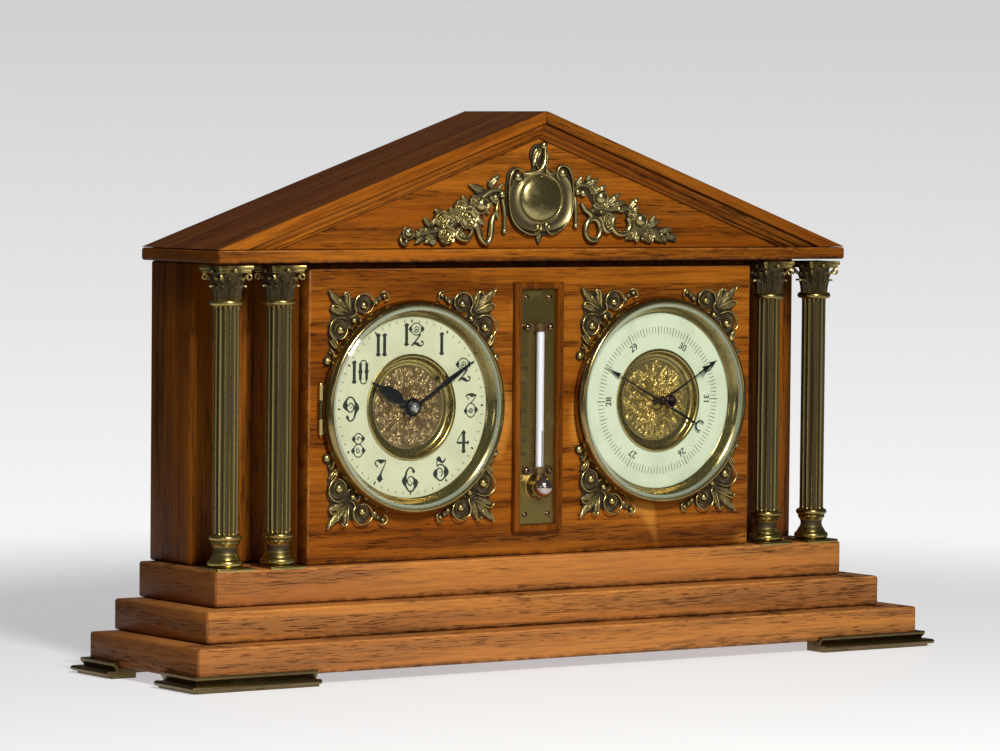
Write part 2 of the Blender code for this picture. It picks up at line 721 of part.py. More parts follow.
def arc(centre, radius, start, end, steps):
    """Points of an arc between two angles in degrees, counter-clockwise from local X."""
    angles = [math.radians(start + (end - start) * step / steps) for step in range(steps + 1)]
    return [(centre[0] + radius * math.cos(a), centre[1] + radius * math.sin(a)) for a in angles]


def circle(radius, steps=ROUND_STEPS, centre=(0, 0)):
    return arc(centre, radius, 0, 360 - 360 / steps, steps - 1)


def rectangle(half_width, low, high):
    return [(-half_width, low), (half_width, low), (half_width, high), (-half_width, high)]


def polar(radius, angle):
    return (radius * math.cos(angle), radius * math.sin(angle))


def clockwise(outline, angle):
    """An outline that points up, turned clockwise as seen from the front."""
    c, s = math.cos(angle), math.sin(angle)
    return [(x * c + y * s, y * c - x * s) for x, y in outline]


# Base and case


def board(name, half_width, low, high, back, front, look):
    """A board across the middle, between two heights and two forward places."""
    shape = eased(block((-half_width, low, back), (half_width, high, front)))
    return piece(name, shape, look, FRONT)


def base_steps():
    width, front, low = BASE_WIDTH / 2, BASE_DEPTH, FLOOR_GAP
    steps = (
        ("base_lower_step", LOWER_STEP_HEIGHT),
        ("base_middle_step", MIDDLE_STEP_HEIGHT),
        ("base_upper_step", UPPER_STEP_HEIGHT),
    )
    for name, height in steps:
        board(name, width, low, low + height, 0, front, OAK)
        low += height + SEAT
        width -= STEP_SIDE_INSET
        front -= STEP_FRONT_INSET


def case_body():
    """The carcass: side walls, wing fronts, cheeks of the breakfront, floor and ceiling, open at the back."""
    wing, cheek = CASE_WIDTH / 2, BREAKFRONT_WIDTH / 2
    low, high = CASE_BOTTOM + CASE_WALL, CASE_TOP - CASE_WALL
    wings = block((-wing, -CASE_DEPTH, CASE_BOTTOM), (wing, 0, CASE_TOP))
    breakfront = block((-cheek, -CHEEK_FORWARD, CASE_BOTTOM), (cheek, -CASE_WALL, CASE_TOP))
    behind = block((-wing + CASE_WALL, -CASE_DEPTH + CASE_WALL, low), (wing - CASE_WALL, OVERRUN, high))
    mouth = block((-cheek + CASE_WALL, -CHEEK_FORWARD - OVERRUN, low), (cheek - CASE_WALL, -CASE_WALL, high))
    piece("case_body", cut(joined(eased(wings), eased(breakfront)), behind, mouth), OAK, PLAN)


def panel_and_back():
    half = BREAKFRONT_WIDTH / 2
    top = CASE_TOP - PANEL_TOP_GAP
    ledge_hole = LEDGE_RADIUS + SEAT
    centres = [(-DIAL_SPREAD, DIAL_HEIGHT), (DIAL_SPREAD, DIAL_HEIGHT)]
    outline = [rectangle(half, CASE_BOTTOM, top)]
    blank = eased(plate(outline, PANEL_FORWARD - PANEL_THICKNESS, PANEL_FORWARD))
    holes = [
        moved(rod(ledge_hole, 0, PANEL_FORWARD + OVERRUN, steps=ROUND_STEPS), (*centre, 0))
        for centre in centres
    ]
    piece("front_panel", cut(blank, *holes), OAK, FRONT)
    inside = CASE_WIDTH / 2 - CASE_WALL - SEAT
    low, high = CASE_BOTTOM + CASE_WALL + SEAT, CASE_TOP - CASE_WALL - SEAT
    windows = [
        circle(DRUM_RADIUS + SEAT, centre=centres[0]),
        circle(SCREW_WINDOW_RADIUS, SMALL_STEPS, centres[1]),
    ]
    back = plate([rectangle(inside, low, high), *windows], 0, BACK_BOARD_THICKNESS)
    piece("back_board", back, OAK_DARK, FRONT)


def roof_line(drop, across):
    """Height of a line that runs parallel to the roof, a vertical drop below it."""
    return ROOF_APEX - drop - PEDIMENT_RISE * across / (CORNICE_WIDTH / 2)


def roof_end(drop):
    """How far across that line meets the cornice."""
    return (PEDIMENT_RISE - drop) / PEDIMENT_RISE * CORNICE_WIDTH / 2


def cornice_and_roof():
    half = CORNICE_WIDTH / 2
    board("cornice_board", half, CORNICE_BOTTOM, CORNICE_TOP, CORNICE_BACK, CORNICE_FORWARD, OAK)
    middle = SEAT / 2
    slope = [
        (middle, roof_line(0, middle)),
        (middle, roof_line(ROOF_BAND, middle)),
        (roof_end(ROOF_BAND), PEDIMENT_BOTTOM),
        (roof_end(0), PEDIMENT_BOTTOM),
    ]
    for side, sign in (("left", -1), ("right", 1)):
        shape = plate([[(sign * x, y) for x, y in slope]], CORNICE_BACK, CORNICE_FORWARD)
        piece(f"roof_board_{side}", shape, OAK, FRONT)


def raking_mouldings():
    """Ovolo, fillet and cavetto under each roof board, from the apex down to the cornice."""
    low, high = ROOF_BAND + SEAT, ROOF_BAND + SEAT + RAKE_BAND
    back = PANEL_FORWARD + SEAT
    front = back + RAKE_PROJECTION
    quirk = RAKE_BAND / 2
    fillet = back + RAKE_PROJECTION / 2
    tail = back + RAKE_PROJECTION * RAKE_TAIL_SHARE
    ovolo = [
        (low + quirk * math.sin(math.radians(a)), fillet + (front - fillet) * math.cos(math.radians(a)))
        for a in range(0, 91, 30)
    ]
    cavetto = [
        (high - quirk / 2 * math.cos(math.radians(a)), tail + (fillet - tail) * (1 - math.sin(math.radians(a))))
        for a in range(0, 91, 45)
    ]
    section = [(low, back), *ovolo, *cavetto, (high, back)]
    for side, sign in (("left", -1), ("right", 1)):
        apex = [(sign * SEAT / 2, roof_line(drop, SEAT / 2), forward) for drop, forward in section]
        foot = [(sign * roof_end(drop), PEDIMENT_BOTTOM, forward) for drop, forward in section]
        piece(f"raking_moulding_{side}", loft([apex, foot]), OAK, FRONT)


def gables():
    """The boards that close the pediment at the front, behind its mouldings, and at the back."""
    drop = ROOF_BAND + SEAT
    outline = [(-roof_end(drop), PEDIMENT_BOTTOM), (roof_end(drop), PEDIMENT_BOTTOM), (0, ROOF_APEX - drop)]
    front = plate([outline], PANEL_FORWARD - TYMPANUM_THICKNESS, PANEL_FORWARD)
    piece("tympanum", front, OAK, FRONT)
    back = plate([outline], PEDIMENT_BACK_INSET, PEDIMENT_BACK_INSET + BACK_BOARD_THICKNESS)
    piece("pediment_back", back, OAK_DARK, FRONT)


# Columns


def fluted_outline():
    """The shaft's outline: flutes that meet in sharp ridges."""
    points = []
    for flute in range(FLUTES):
        start = math.tau * flute / FLUTES
        points.append(polar(SHAFT_RADIUS, start))
        points.append(polar(SHAFT_RADIUS - FLUTE_DEPTH, start + math.pi / FLUTES))
    return points


def column_base(top):
    """Plinth, torus, scotia and ring, from the floor of the column up, as one turned profile."""
    torus_middle = PLINTH_HEIGHT + TORUS_HEIGHT / 2
    torus_round = TORUS_HEIGHT / 2
    ring_low = PLINTH_HEIGHT + TORUS_HEIGHT + SCOTIA_HEIGHT
    ring_round = RING_HEIGHT / 2
    ring = arc((RING_RADIUS - ring_round, ring_low + ring_round), ring_round, 90, -90, 2)
    torus = arc((TORUS_RADIUS - torus_round, torus_middle), torus_round, 90, -90, 3)
    scotia = (SCOTIA_RADIUS, PLINTH_HEIGHT + TORUS_HEIGHT + SCOTIA_HEIGHT / 2)
    spigot = SHAFT_RADIUS - 2 * FLUTE_DEPTH
    profile = [(0, top), (spigot, top), *ring, scotia, *torus]
    return turned([*profile, (0, PLINTH_HEIGHT)], COLUMN_STEPS)


def capital_bell(foot):
    """The bell with two rows of leaves that curl out at their tips, as rings of varying radius."""
    around = LEAF_POINTS * LEAVES_PER_ROW
    rings = []
    for rise, spread, curl, row in CAPITAL_RING_SHARES:
        ring = []
        for point in range(around):
            angle = math.tau * point / around
            lobe = math.cos(LEAVES_PER_ROW * angle / 2 + row * math.pi / 2) ** 2
            radius = CAPITAL_NECK_RADIUS + (CAPITAL_LIP_RADIUS - CAPITAL_NECK_RADIUS) * spread
            ring.append((*polar(radius + LEAF_CURL * curl * lobe, angle), foot + CAPITAL_HEIGHT * rise))
        rings.append(ring)
    return loft(rings)


def capital(foot):
    """Astragal, leafy bell, corner volutes and an abacus with hollow sides."""
    bead = ASTRAGAL_HEIGHT / 2
    bell_foot = foot + ASTRAGAL_HEIGHT
    lip = bell_foot + CAPITAL_HEIGHT
    spigot = CAPITAL_NECK_RADIUS - FLUTE_DEPTH
    astragal = arc((ASTRAGAL_RADIUS - bead, foot + bead), bead, 90, -90, 2)
    collar = turned([(0, bell_foot + bead), (spigot, bell_foot + bead), *astragal, (0, foot)], COLUMN_STEPS)
    corner = ABACUS_SIZE / 2
    reach = corner * math.sqrt(2) - VOLUTE_INSET
    volutes = []
    for quarter in range(4):
        disc = plate([circle(VOLUTE_RADIUS, BUD_STEPS)], -VOLUTE_WIDTH / 2, VOLUTE_WIDTH / 2)
        disc = moved(spun(disc, math.pi / 2, "X"), (reach, 0, lip - VOLUTE_RADIUS + SEAT))
        volutes.append(spun(disc, math.pi / 4 + math.pi / 2 * quarter))
    return joined(collar, capital_bell(bell_foot), *volutes, abacus(lip))


def abacus(low):
    corner = ABACUS_SIZE / 2
    cropped = corner - ABACUS_HOLLOW / 2
    side = []
    for step in range(4):
        across = -cropped + 2 * cropped * step / 3
        side.append((across, -corner + ABACUS_HOLLOW * (1 - (across / cropped) ** 2)))
    outline = []
    for quarter in range(4):
        turn = math.pi / 2 * quarter
        c, s = math.cos(turn), math.sin(turn)
        outline += [(x * c - y * s, x * s + y * c) for x, y in side]
    return plate([outline], low - SEAT, low + ABACUS_HEIGHT)


def columns():
    foot, top = UPPER_STEP_TOP + SEAT, CORNICE_BOTTOM - SEAT
    height = top - foot
    abacus_low = height - ABACUS_HEIGHT
    capital_foot = abacus_low - CAPITAL_HEIGHT - ASTRAGAL_HEIGHT
    shaft_foot = PLINTH_HEIGHT + TORUS_HEIGHT + SCOTIA_HEIGHT + RING_HEIGHT
    half = PLINTH_SIZE / 2
    plinth = block((-half, -half, 0), (half, half, PLINTH_HEIGHT + SEAT))
    base = column_base(shaft_foot + OVERRUN)
    shaft = plate([fluted_outline()], shaft_foot - RING_HEIGHT / 2, capital_foot + ASTRAGAL_HEIGHT / 2)
    mesh = settled(joined(plinth, base, shaft, capital(capital_foot)))
    places = (
        ("column_outer_left", -COLUMN_OUTER_SPREAD),
        ("column_inner_left", -COLUMN_INNER_SPREAD),
        ("column_inner_right", COLUMN_INNER_SPREAD),
        ("column_outer_right", COLUMN_OUTER_SPREAD),
    )
    for name, across in places:
        piece(name, mesh, BRASS_DARK, PLAN, (across, -COLUMN_FORWARD, foot))


# Foot mouldings


def feet():
    """An L-shaped moulding round each corner, which carries the base on a ledge behind its lip."""
    ledge = FLOOR_GAP - SEAT
    lip = FOOT_LIP
    bead = FOOT_PROJECTION - lip
    cavetto_top, cavetto_foot = [FOOT_TOP * share for share in FOOT_CAVETTO_SHARES]
    cavetto = []
    for a in range(0, 91, 30):
        out = lip - (lip - SEAT) / 2 * math.sin(math.radians(a))
        cavetto.append((out, cavetto_top - (cavetto_top - cavetto_foot) * a / 90))
    flange = arc((FOOT_PROJECTION - bead / 3, FOOT_TOP * FOOT_BEAD_SHARE), bead / 3, 90, -90, 4)
    section = [
        (SEAT, FOOT_TOP),
        (lip, FOOT_TOP),
        *cavetto,
        *flange,
        (FOOT_BASE_INSET, FOOT_TOP * FOOT_PLINTH_SHARE),
        (FOOT_BASE_INSET, 0),
        (-FOOT_SEAT_DEPTH, 0),
        (-FOOT_SEAT_DEPTH, ledge),
        (SEAT, ledge),
    ]
    half_width, front = BASE_WIDTH / 2, BASE_DEPTH / 2
    rings = [
        [(-half_width + FOOT_FRONT_ARM, -front - out, up) for out, up in section],
        [(-half_width - out, -front - out, up) for out, up in section],
        [(-half_width - out, -front + FOOT_SIDE_ARM, up) for out, up in section],
    ]
    mesh = settled(loft(rings))
    for depth, sign_y in (("front", 1), ("back", -1)):
        for side, sign_x in (("left", 1), ("right", -1)):
            piece(f"foot_{depth}_{side}", mesh, BRASS, None, scale=(sign_x, sign_y, 1))


# Dials, drums and bezels


def ring_face():
    """Where the flange, the ledge and the recess for the dial lie, shared by both drums."""
    recess = DIAL_RADIUS + SEAT
    inside = [(DRUM_BORE, LEDGE_FRONT), (recess, LEDGE_FRONT), (recess, FLANGE_FRONT)]
    outside = [
        (FLANGE_RADIUS, FLANGE_FRONT),
        (FLANGE_RADIUS, FLANGE_BACK),
        (LEDGE_RADIUS, FLANGE_BACK),
        (LEDGE_RADIUS, LEDGE_FRONT - LEDGE_THICKNESS),
        (DRUM_RADIUS, LEDGE_FRONT - LEDGE_THICKNESS),
    ]
    return inside + outside


def hinge_barrel(radius, low, high):
    """A cylinder along the hinge axis, between two heights measured from the dial's centre."""
    upright = spun(rod(radius, low, high, steps=BUD_STEPS), -math.pi / 2, "X")
    return moved(upright, (-HINGE_OFFSET, 0, HINGE_FORWARD))


def movement_case():
    """A drum open to the front, with a floor pierced for the key and the setting knob."""
    arbor_hole = ARBOR_RADIUS + RUNNING_GAP
    floor = DRUM_PLATE_BACK
    profile = [
        *ring_face(),
        (DRUM_RADIUS, DRUM_TAIL_BACK),
        (DRUM_BORE, DRUM_TAIL_BACK),
        (DRUM_BORE, floor),
        (arbor_hole, floor),
        (arbor_hole, floor + DRUM_WALL),
        (DRUM_BORE, floor + DRUM_WALL),
    ]
    key_hole = rod(KEY_ARBOR_RADIUS + RUNNING_GAP, floor - OVERRUN, floor + OVERRUN, BARREL_PLACE)
    drum = cut(turned(profile, ring=True), key_hole)
    near = HINGE_KNUCKLE_HALF + RUNNING_GAP
    far = near + HINGE_LUG_LENGTH
    tab_inner = FLANGE_RADIUS - 2 * FLANGE_THICKNESS
    lugs = []
    for low, high in ((near, far), (-far, -near)):
        lugs.append(block((-HINGE_OFFSET, low, FLANGE_BACK), (-tab_inner, high, FLANGE_FRONT)))
        lugs.append(hinge_barrel(HINGE_RADIUS, low, high))
    bore = hinge_barrel(HINGE_PIN_RADIUS + RUNNING_GAP, -far - OVERRUN, far + OVERRUN)
    piece("movement_case", cut(joined(drum, *lugs), bore), BRASS, TIMEPIECE)


def aneroid_case():
    """A shallower drum with a closed floor and the boss of its adjusting screw."""
    floor, boss = ANEROID_BACK, ANEROID_BACK - ANEROID_SCREW_HEIGHT
    profile = [
        (0, floor + LEDGE_THICKNESS),
        (DRUM_BORE, floor + LEDGE_THICKNESS),
        *ring_face(),
        (DRUM_RADIUS, floor),
        (ANEROID_SCREW_RADIUS, floor),
        (ANEROID_SCREW_RADIUS, boss),
        (0, boss),
    ]
    piece("aneroid_case", turned(profile), BRASS, BAROMETER)


def dials():
    inner = CENTRE_RADIUS + SEAT
    profile = [(DIAL_RADIUS, DIAL_FRONT), (DIAL_RADIUS, DIAL_BACK), (inner, DIAL_BACK), (inner, DIAL_FRONT)]
    piece("clock_dial", turned(profile, ring=True), IVORY, TIMEPIECE)
    piece("barometer_dial", turned(profile, ring=True), MINT_WHITE, BAROMETER)


def dial_centre(name, hole, carrier):
    """A gilt dish with a cove round its floor and a rim that laps over the dial."""
    seat = DIAL_FRONT + SEAT
    back = seat - CENTRE_DEPTH
    floor = back + CENTRE_WALL
    bore = CENTRE_RADIUS - CENTRE_WALL
    lap = CENTRE_RADIUS + CENTRE_RIM
    cove = arc((bore - COVE_RADIUS, floor + COVE_RADIUS), COVE_RADIUS, -90, 0, 3)
    profile = [
        (CENTRE_RADIUS, seat + CENTRE_RIM_HEIGHT),
        (lap, seat + CENTRE_RIM_HEIGHT / 2),
        (lap, seat),
        (CENTRE_RADIUS, seat),
        (CENTRE_RADIUS, back),
        (hole, back),
        (hole, floor),
        *cove,
    ]
    piece(name, turned(profile, DISH_STEPS, ring=True), BRASS, carrier)


def bezel_ring():
    """A quarter-round brass ring with a rebate for the glass behind its lip."""
    bulge = BEZEL_BACK + BEZEL_BULGE_HEIGHT
    wide, high = BEZEL_RADIUS - BEZEL_LIP_RADIUS, BEZEL_FRONT - bulge
    angles = [math.radians(angle) for angle in (90, 62, 34, 0)]
    roll = [(BEZEL_LIP_RADIUS + wide * math.cos(a), bulge + high * math.sin(a)) for a in angles]
    rebate = GLASS_RADIUS + SEAT
    sight = BEZEL_BACK + SIGHT_HEIGHT
    profile = [
        *roll,
        (BEZEL_FOOT_RADIUS, BEZEL_BACK + BEZEL_FOOT_HEIGHT),
        (BEZEL_FOOT_RADIUS, BEZEL_BACK),
        (SIGHT_RADIUS, BEZEL_BACK),
        (SIGHT_RADIUS, sight),
        (rebate, sight),
        (rebate, BEZEL_FRONT - BEZEL_LIP_THICKNESS),
        (BEZEL_LIP_RADIUS, BEZEL_FRONT - BEZEL_LIP_THICKNESS),
    ]
    return turned(profile, ring=True)


def bezels():
    """The timepiece's bezel is a door with a knuckle and a pin, and the barometer's is a plain ring."""
    half = HINGE_KNUCKLE_HALF
    leaf_low, leaf_high = HINGE_FORWARD - SEAT, HINGE_FORWARD + HINGE_RADIUS - SEAT
    leaf = block((-HINGE_OFFSET, -half, leaf_low), (-HINGE_OFFSET + HINGE_LEAF_REACH, half, leaf_high))
    reach = half + RUNNING_GAP + HINGE_LUG_LENGTH + HINGE_PIN_SPARE
    knuckle = hinge_barrel(HINGE_RADIUS, -half, half)
    pin = hinge_barrel(HINGE_PIN_RADIUS, -reach, reach)
    door = joined(bezel_ring(), leaf, knuckle, pin)
    piece("clock_bezel", door, BRASS, DOOR, (HINGE_OFFSET, 0, -HINGE_FORWARD))
    piece("barometer_bezel", bezel_ring(), BRASS, BAROMETER)


def glasses():
    edge = GLASS_BACK + GLASS_EDGE_THICKNESS
    flat = GLASS_RADIUS - GLASS_BEVEL
    outside = [(flat, GLASS_FRONT), (GLASS_RADIUS, edge), (GLASS_RADIUS, GLASS_BACK)]
    disc = turned([(0, GLASS_FRONT), *outside, (0, GLASS_BACK)])
    piece("clock_glass", disc, GLASS, DOOR, (HINGE_OFFSET, 0, -HINGE_FORWARD))
    hole = SET_SPINDLE_RADIUS + RUNNING_GAP
    pierced = turned([(hole, GLASS_FRONT), *outside, (hole, GLASS_BACK)], ring=True)
    piece("barometer_glass", pierced, GLASS, BAROMETER)


# Hands and movement of the timepiece


def hour_hand():
    """A spade-shaped leaf on a round hub that fits over the hour wheel's pipe."""
    hub_reach = HOUR_HUB_RADIUS * HAND_ROOT_SHARE
    wide, tip = HOUR_LEAF_WIDTH / 2, HAND_TIP_WIDTH / 2
    neck = HAND_NECK_WIDTH / 2
    half = [(wide * w, HOUR_HAND_LENGTH * l) for w, l in HOUR_LEAF_SHARES]
    right = [(neck, hub_reach), *half, (tip, HOUR_HAND_LENGTH)]
    outline = right + [(-x, y) for x, y in reversed(right)]
    low = HOUR_HAND_FORWARD
    blade = plate([clockwise(outline, HOUR_HAND_ANGLE)], low, low + HAND_THICKNESS)
    hub = rod(HOUR_HUB_RADIUS, low, low + HAND_THICKNESS, steps=FINE_STEPS)
    bore = rod(HOUR_PIPE_RADIUS + SEAT, low - OVERRUN, low + OVERRUN, steps=FINE_STEPS)
    piece("hour_hand", cut(joined(hub, blade), bore), BLUED_STEEL, TIMEPIECE)


def minute_hand():
    """A slim lance on a round hub, held between the arbor's shoulder and its cap."""
    hub_reach = MINUTE_HUB_RADIUS * HAND_ROOT_SHARE
    root, belly, tip = HAND_NECK_WIDTH / 2, MINUTE_BLADE_WIDTH / 2, HAND_TIP_WIDTH / 2
    right = [(root, hub_reach), (belly, MINUTE_HAND_LENGTH / 2), (tip, MINUTE_HAND_LENGTH)]
    outline = right + [(-x, y) for x, y in reversed(right)]
    low = MINUTE_HAND_FORWARD
    blade = plate([clockwise(outline, MINUTE_HAND_ANGLE)], low, low + HAND_THICKNESS)
    hub = rod(MINUTE_HUB_RADIUS, low, low + HAND_THICKNESS, steps=FINE_STEPS)
    bore = rod(ARBOR_RADIUS + SEAT, low - OVERRUN, low + OVERRUN)
    piece("minute_hand", cut(joined(hub, blade), bore), BLUED_STEEL, TIMEPIECE)


def gear(teeth, pitch_radius, phase, low, high, bore=None):
    """A toothed plate whose first tooth points along phase, with a round bore where one is given."""
    module = 2 * pitch_radius / teeth
    root = pitch_radius - module * TOOTH_ROOT_SHARE
    tip = pitch_radius + module * TOOTH_TIP_SHARE
    pitch = math.tau / teeth
    outline = []
    for tooth in range(teeth):
        middle = phase + tooth * pitch
        outline.append(polar(tip, middle - pitch * TOOTH_CREST_SHARE))
        outline.append(polar(tip, middle + pitch * TOOTH_CREST_SHARE))
        outline.append(polar(root, middle + pitch / 2))
    holes = [circle(bore, SMALL_STEPS)] if bore else []
    return plate([outline, *holes], low, high)


def centre_arbor():
    """The arbor of the minute hand, with its centre pinion, cannon pinion, shoulder and domed cap."""
    hand_front = MINUTE_HAND_FORWARD + HAND_THICKNESS + SEAT
    shoulder = MINUTE_HAND_FORWARD - SEAT
    dome = [
        (CAP_RADIUS * math.cos(a), hand_front + CAP_HEIGHT * math.sin(a))
        for a in (math.radians(45), 0)
    ]
    profile = [
        (0, hand_front + CAP_HEIGHT),
        *dome,
        (ARBOR_RADIUS, hand_front),
        (ARBOR_RADIUS, shoulder),
        (ARBOR_SHOULDER_RADIUS, shoulder),
        (ARBOR_SHOULDER_RADIUS, shoulder - ARBOR_SHOULDER_LENGTH),
        (ARBOR_RADIUS, shoulder - ARBOR_SHOULDER_LENGTH),
        (ARBOR_RADIUS, KNOB_BACK + KNOB_FLOOR + SEAT),
        (0, KNOB_BACK + KNOB_FLOOR + SEAT),
    ]
    cannon = gear(CANNON_LEAVES, CANNON_RADIUS, MOTION_ANGLE, CANNON_BACK, CANNON_BACK + CANNON_LENGTH)
    low = GREAT_WHEEL_BACK - (CENTRE_PINION_LENGTH - GREAT_WHEEL_THICKNESS) / 2
    pinion = gear(CENTRE_PINION_LEAVES, CENTRE_PINION_RADIUS, BARREL_ANGLE, low, low + CENTRE_PINION_LENGTH)
    piece("centre_arbor", joined(turned(profile, SMALL_STEPS), cannon, pinion), STEEL, TIMEPIECE)


def motion_wheels():
    """The minute wheel with its pinion on a stud, and the hour wheel with its pipe."""
    low, middle = MINUTE_WHEEL_BACK, MINUTE_WHEEL_BACK + WHEEL_THICKNESS
    phase = MOTION_ANGLE + math.pi
    bore = STUD_RADIUS + RUNNING_GAP
    wheel = gear(MINUTE_WHEEL_TEETH, MINUTE_WHEEL_RADIUS, phase + math.pi / MINUTE_WHEEL_TEETH, low, middle)
    top = middle + MINUTE_PINION_LENGTH
    pinion = gear(MINUTE_PINION_LEAVES, MINUTE_PINION_RADIUS, phase, middle - WHEEL_THICKNESS / 2, top)
    hole = rod(bore, low - OVERRUN, top + OVERRUN)
    piece("minute_wheel", cut(joined(wheel, pinion), hole), BRASS, MINUTE_WHEEL)
    low = HOUR_WHEEL_BACK
    phase = MOTION_ANGLE + math.pi / HOUR_WHEEL_TEETH
    wheel = gear(HOUR_WHEEL_TEETH, HOUR_WHEEL_RADIUS, phase, low, low + WHEEL_THICKNESS)
    pipe_front = HOUR_HAND_FORWARD + HAND_THICKNESS
    pipe = rod(HOUR_PIPE_RADIUS, low + WHEEL_THICKNESS / 2, pipe_front)
    hole = rod(HOUR_PIPE_BORE, low - OVERRUN, pipe_front + OVERRUN)
    piece("hour_wheel", cut(joined(wheel, pipe), hole), BRASS, TIMEPIECE)


def movement_plates():
    """The front plate with its pillars and stud, and the smaller back plate they carry."""
    arbor_hole = circle(ARBOR_RADIUS + RUNNING_GAP, SMALL_STEPS)
    key_hole = circle(KEY_ARBOR_RADIUS + RUNNING_GAP, SMALL_STEPS, BARREL_PLACE)
    low, high = FRONT_PLATE_BACK, FRONT_PLATE_BACK + PLATE_THICKNESS
    disc = plate([circle(DRUM_BORE - SEAT), arbor_hole, key_hole], low, high)
    overlap = PLATE_THICKNESS / 2
    pillar_foot = BACK_PLATE_BACK + PLATE_THICKNESS + SEAT
    parts = [disc]
    for pillar in range(PILLARS):
        place = polar(PILLAR_CIRCLE, math.pi / 2 + math.tau * pillar / PILLARS)
        parts.append(rod(PILLAR_RADIUS, pillar_foot, low + overlap, place, SMALL_STEPS))
    stud_top = MINUTE_WHEEL_BACK + WHEEL_THICKNESS + MINUTE_PINION_LENGTH
    parts.append(rod(STUD_RADIUS, high - overlap, stud_top, polar(MOTION_CENTRES, MOTION_ANGLE), SMALL_STEPS))
    piece("movement_front_plate", joined(*parts), BRASS, TIMEPIECE)
    outline = circle(BACK_PLATE_RADIUS, FINE_STEPS)
    back = plate([outline, arbor_hole, key_hole], BACK_PLATE_BACK, BACK_PLATE_BACK + PLATE_THICKNESS)
    piece("movement_back_plate", back, BRASS, TIMEPIECE)


def mainspring_barrel():
    """A drum with its great wheel, free on the winding arbor."""
    phase = BARREL_ANGLE + math.pi + math.pi / BARREL_TEETH
    low = BARREL_BACK
    wheel_front = GREAT_WHEEL_BACK + GREAT_WHEEL_THICKNESS
    wheel = gear(BARREL_TEETH, GREAT_WHEEL_RADIUS, phase, GREAT_WHEEL_BACK, wheel_front)
    drum = rod(BARREL_DRUM_RADIUS, low, GREAT_WHEEL_BACK + GREAT_WHEEL_THICKNESS / 2, steps=FINE_STEPS)
    hub_front = wheel_front + BARREL_HUB_LENGTH
    hub = rod(BARREL_HUB_RADIUS, low - BARREL_HUB_LENGTH, hub_front)
    hole = rod(KEY_ARBOR_RADIUS + RUNNING_GAP, low - 2 * OVERRUN, hub_front + OVERRUN)
    piece("mainspring_barrel", cut(joined(wheel, drum, hub), hole), BRASS, BARREL)


def winding_key():
    """The winding arbor, from the front plate to the wing that turns it behind the drum's floor."""
    boss_front = KEY_BACK + KEY_WING_DEPTH + KEY_BOSS_LENGTH
    profile = [
        (0, FRONT_PLATE_FRONT),
        (KEY_ARBOR_RADIUS, FRONT_PLATE_FRONT),
        (KEY_ARBOR_RADIUS, boss_front),
        (KEY_BOSS_RADIUS, boss_front),
        (KEY_BOSS_RADIUS, KEY_BACK + KEY_WING_DEPTH / 2),
        (0, KEY_BACK + KEY_WING_DEPTH / 2),
    ]
    half = KEY_WING_SPAN / 2
    rise = KEY_WING_DEPTH / 2
    right, left = arc((half - rise, 0), rise, -90, 90, 5), arc((-half + rise, 0), rise, 90, 270, 5)
    waist = rise * KEY_WAIST_SHARE
    outline = [*right, (0, waist), *left, (0, -waist)]
    wing = spun(plate([outline], -KEY_WING_THICKNESS / 2, KEY_WING_THICKNESS / 2), math.pi / 2, "X")
    wing = moved(wing, (0, 0, KEY_BACK + rise))
    piece("winding_key", joined(turned(profile, SMALL_STEPS), wing), STEEL, BARREL)


def setting_knob():
    """A round knob on the back end of the centre arbor."""
    front = KNOB_BACK + KNOB_LENGTH
    bore = ARBOR_RADIUS + SEAT
    floor = KNOB_BACK + KNOB_FLOOR
    grip = KNOB_RADIUS * KNOB_COLLAR_SHARE
    profile = [
        (0, floor),
        (bore, floor),
        (bore, front),
        (grip, front),
        (grip, front - KNOB_LENGTH / 2),
        (KNOB_RADIUS, front - KNOB_LENGTH / 2),
        (KNOB_RADIUS, KNOB_BACK),
        (0, KNOB_BACK),
    ]
    piece("setting_knob", turned(profile, COLUMN_STEPS), BRASS, TIMEPIECE)


# Barometer


def aneroid_capsule():
    """A corrugated vacuum capsule on a post, with the pillar that drives the staff."""
    low = ANEROID_BACK + LEDGE_THICKNESS + SEAT
    back, front = CAPSULE_BACK, CAPSULE_BACK + CAPSULE_THICKNESS
    folds = 2 * CAPSULE_RIPPLES
    ripples = []
    for fold in range(folds, 0, -1):
        radius = CAPSULE_PILLAR_RADIUS + (CAPSULE_RADIUS - CAPSULE_PILLAR_RADIUS) * (folds - fold + 1) / folds
        ripples.append((radius, CAPSULE_RIPPLE * (fold % 2)))
    upper = [(radius, front - depth) for radius, depth in ripples]
    lower = [(radius, back + depth) for radius, depth in reversed(ripples)]
    lower = [(radius, height) for radius, height in lower if radius > CAPSULE_POST_RADIUS]
    tip = front + CAPSULE_PILLAR_LENGTH
    profile = [(0, tip), (CAPSULE_PILLAR_RADIUS, tip), (CAPSULE_PILLAR_RADIUS, front), *upper, *lower]
    profile += [(CAPSULE_POST_RADIUS, back), (CAPSULE_POST_RADIUS, low), (0, low)]
    piece("aneroid_capsule", turned(profile, CAPSULE_STEPS), BRASS, BAROMETER)


def arrow(length, tail, arm_width, head_length, head_width):
    """The outline of a hand that points up: a thin arm and a barbed head drawn out to a needle."""
    arm, head = arm_width / 2, head_width / 2
    barb = length - head_length
    right = [
        (arm, -tail),
        (arm, barb + head_length * BARB_SHARE),
        (head, barb),
        (arm, barb + head_length * NEEDLE_SHARE),
        (0, length),
    ]
    return right + [(-x, y) for x, y in reversed(right[:-1])]


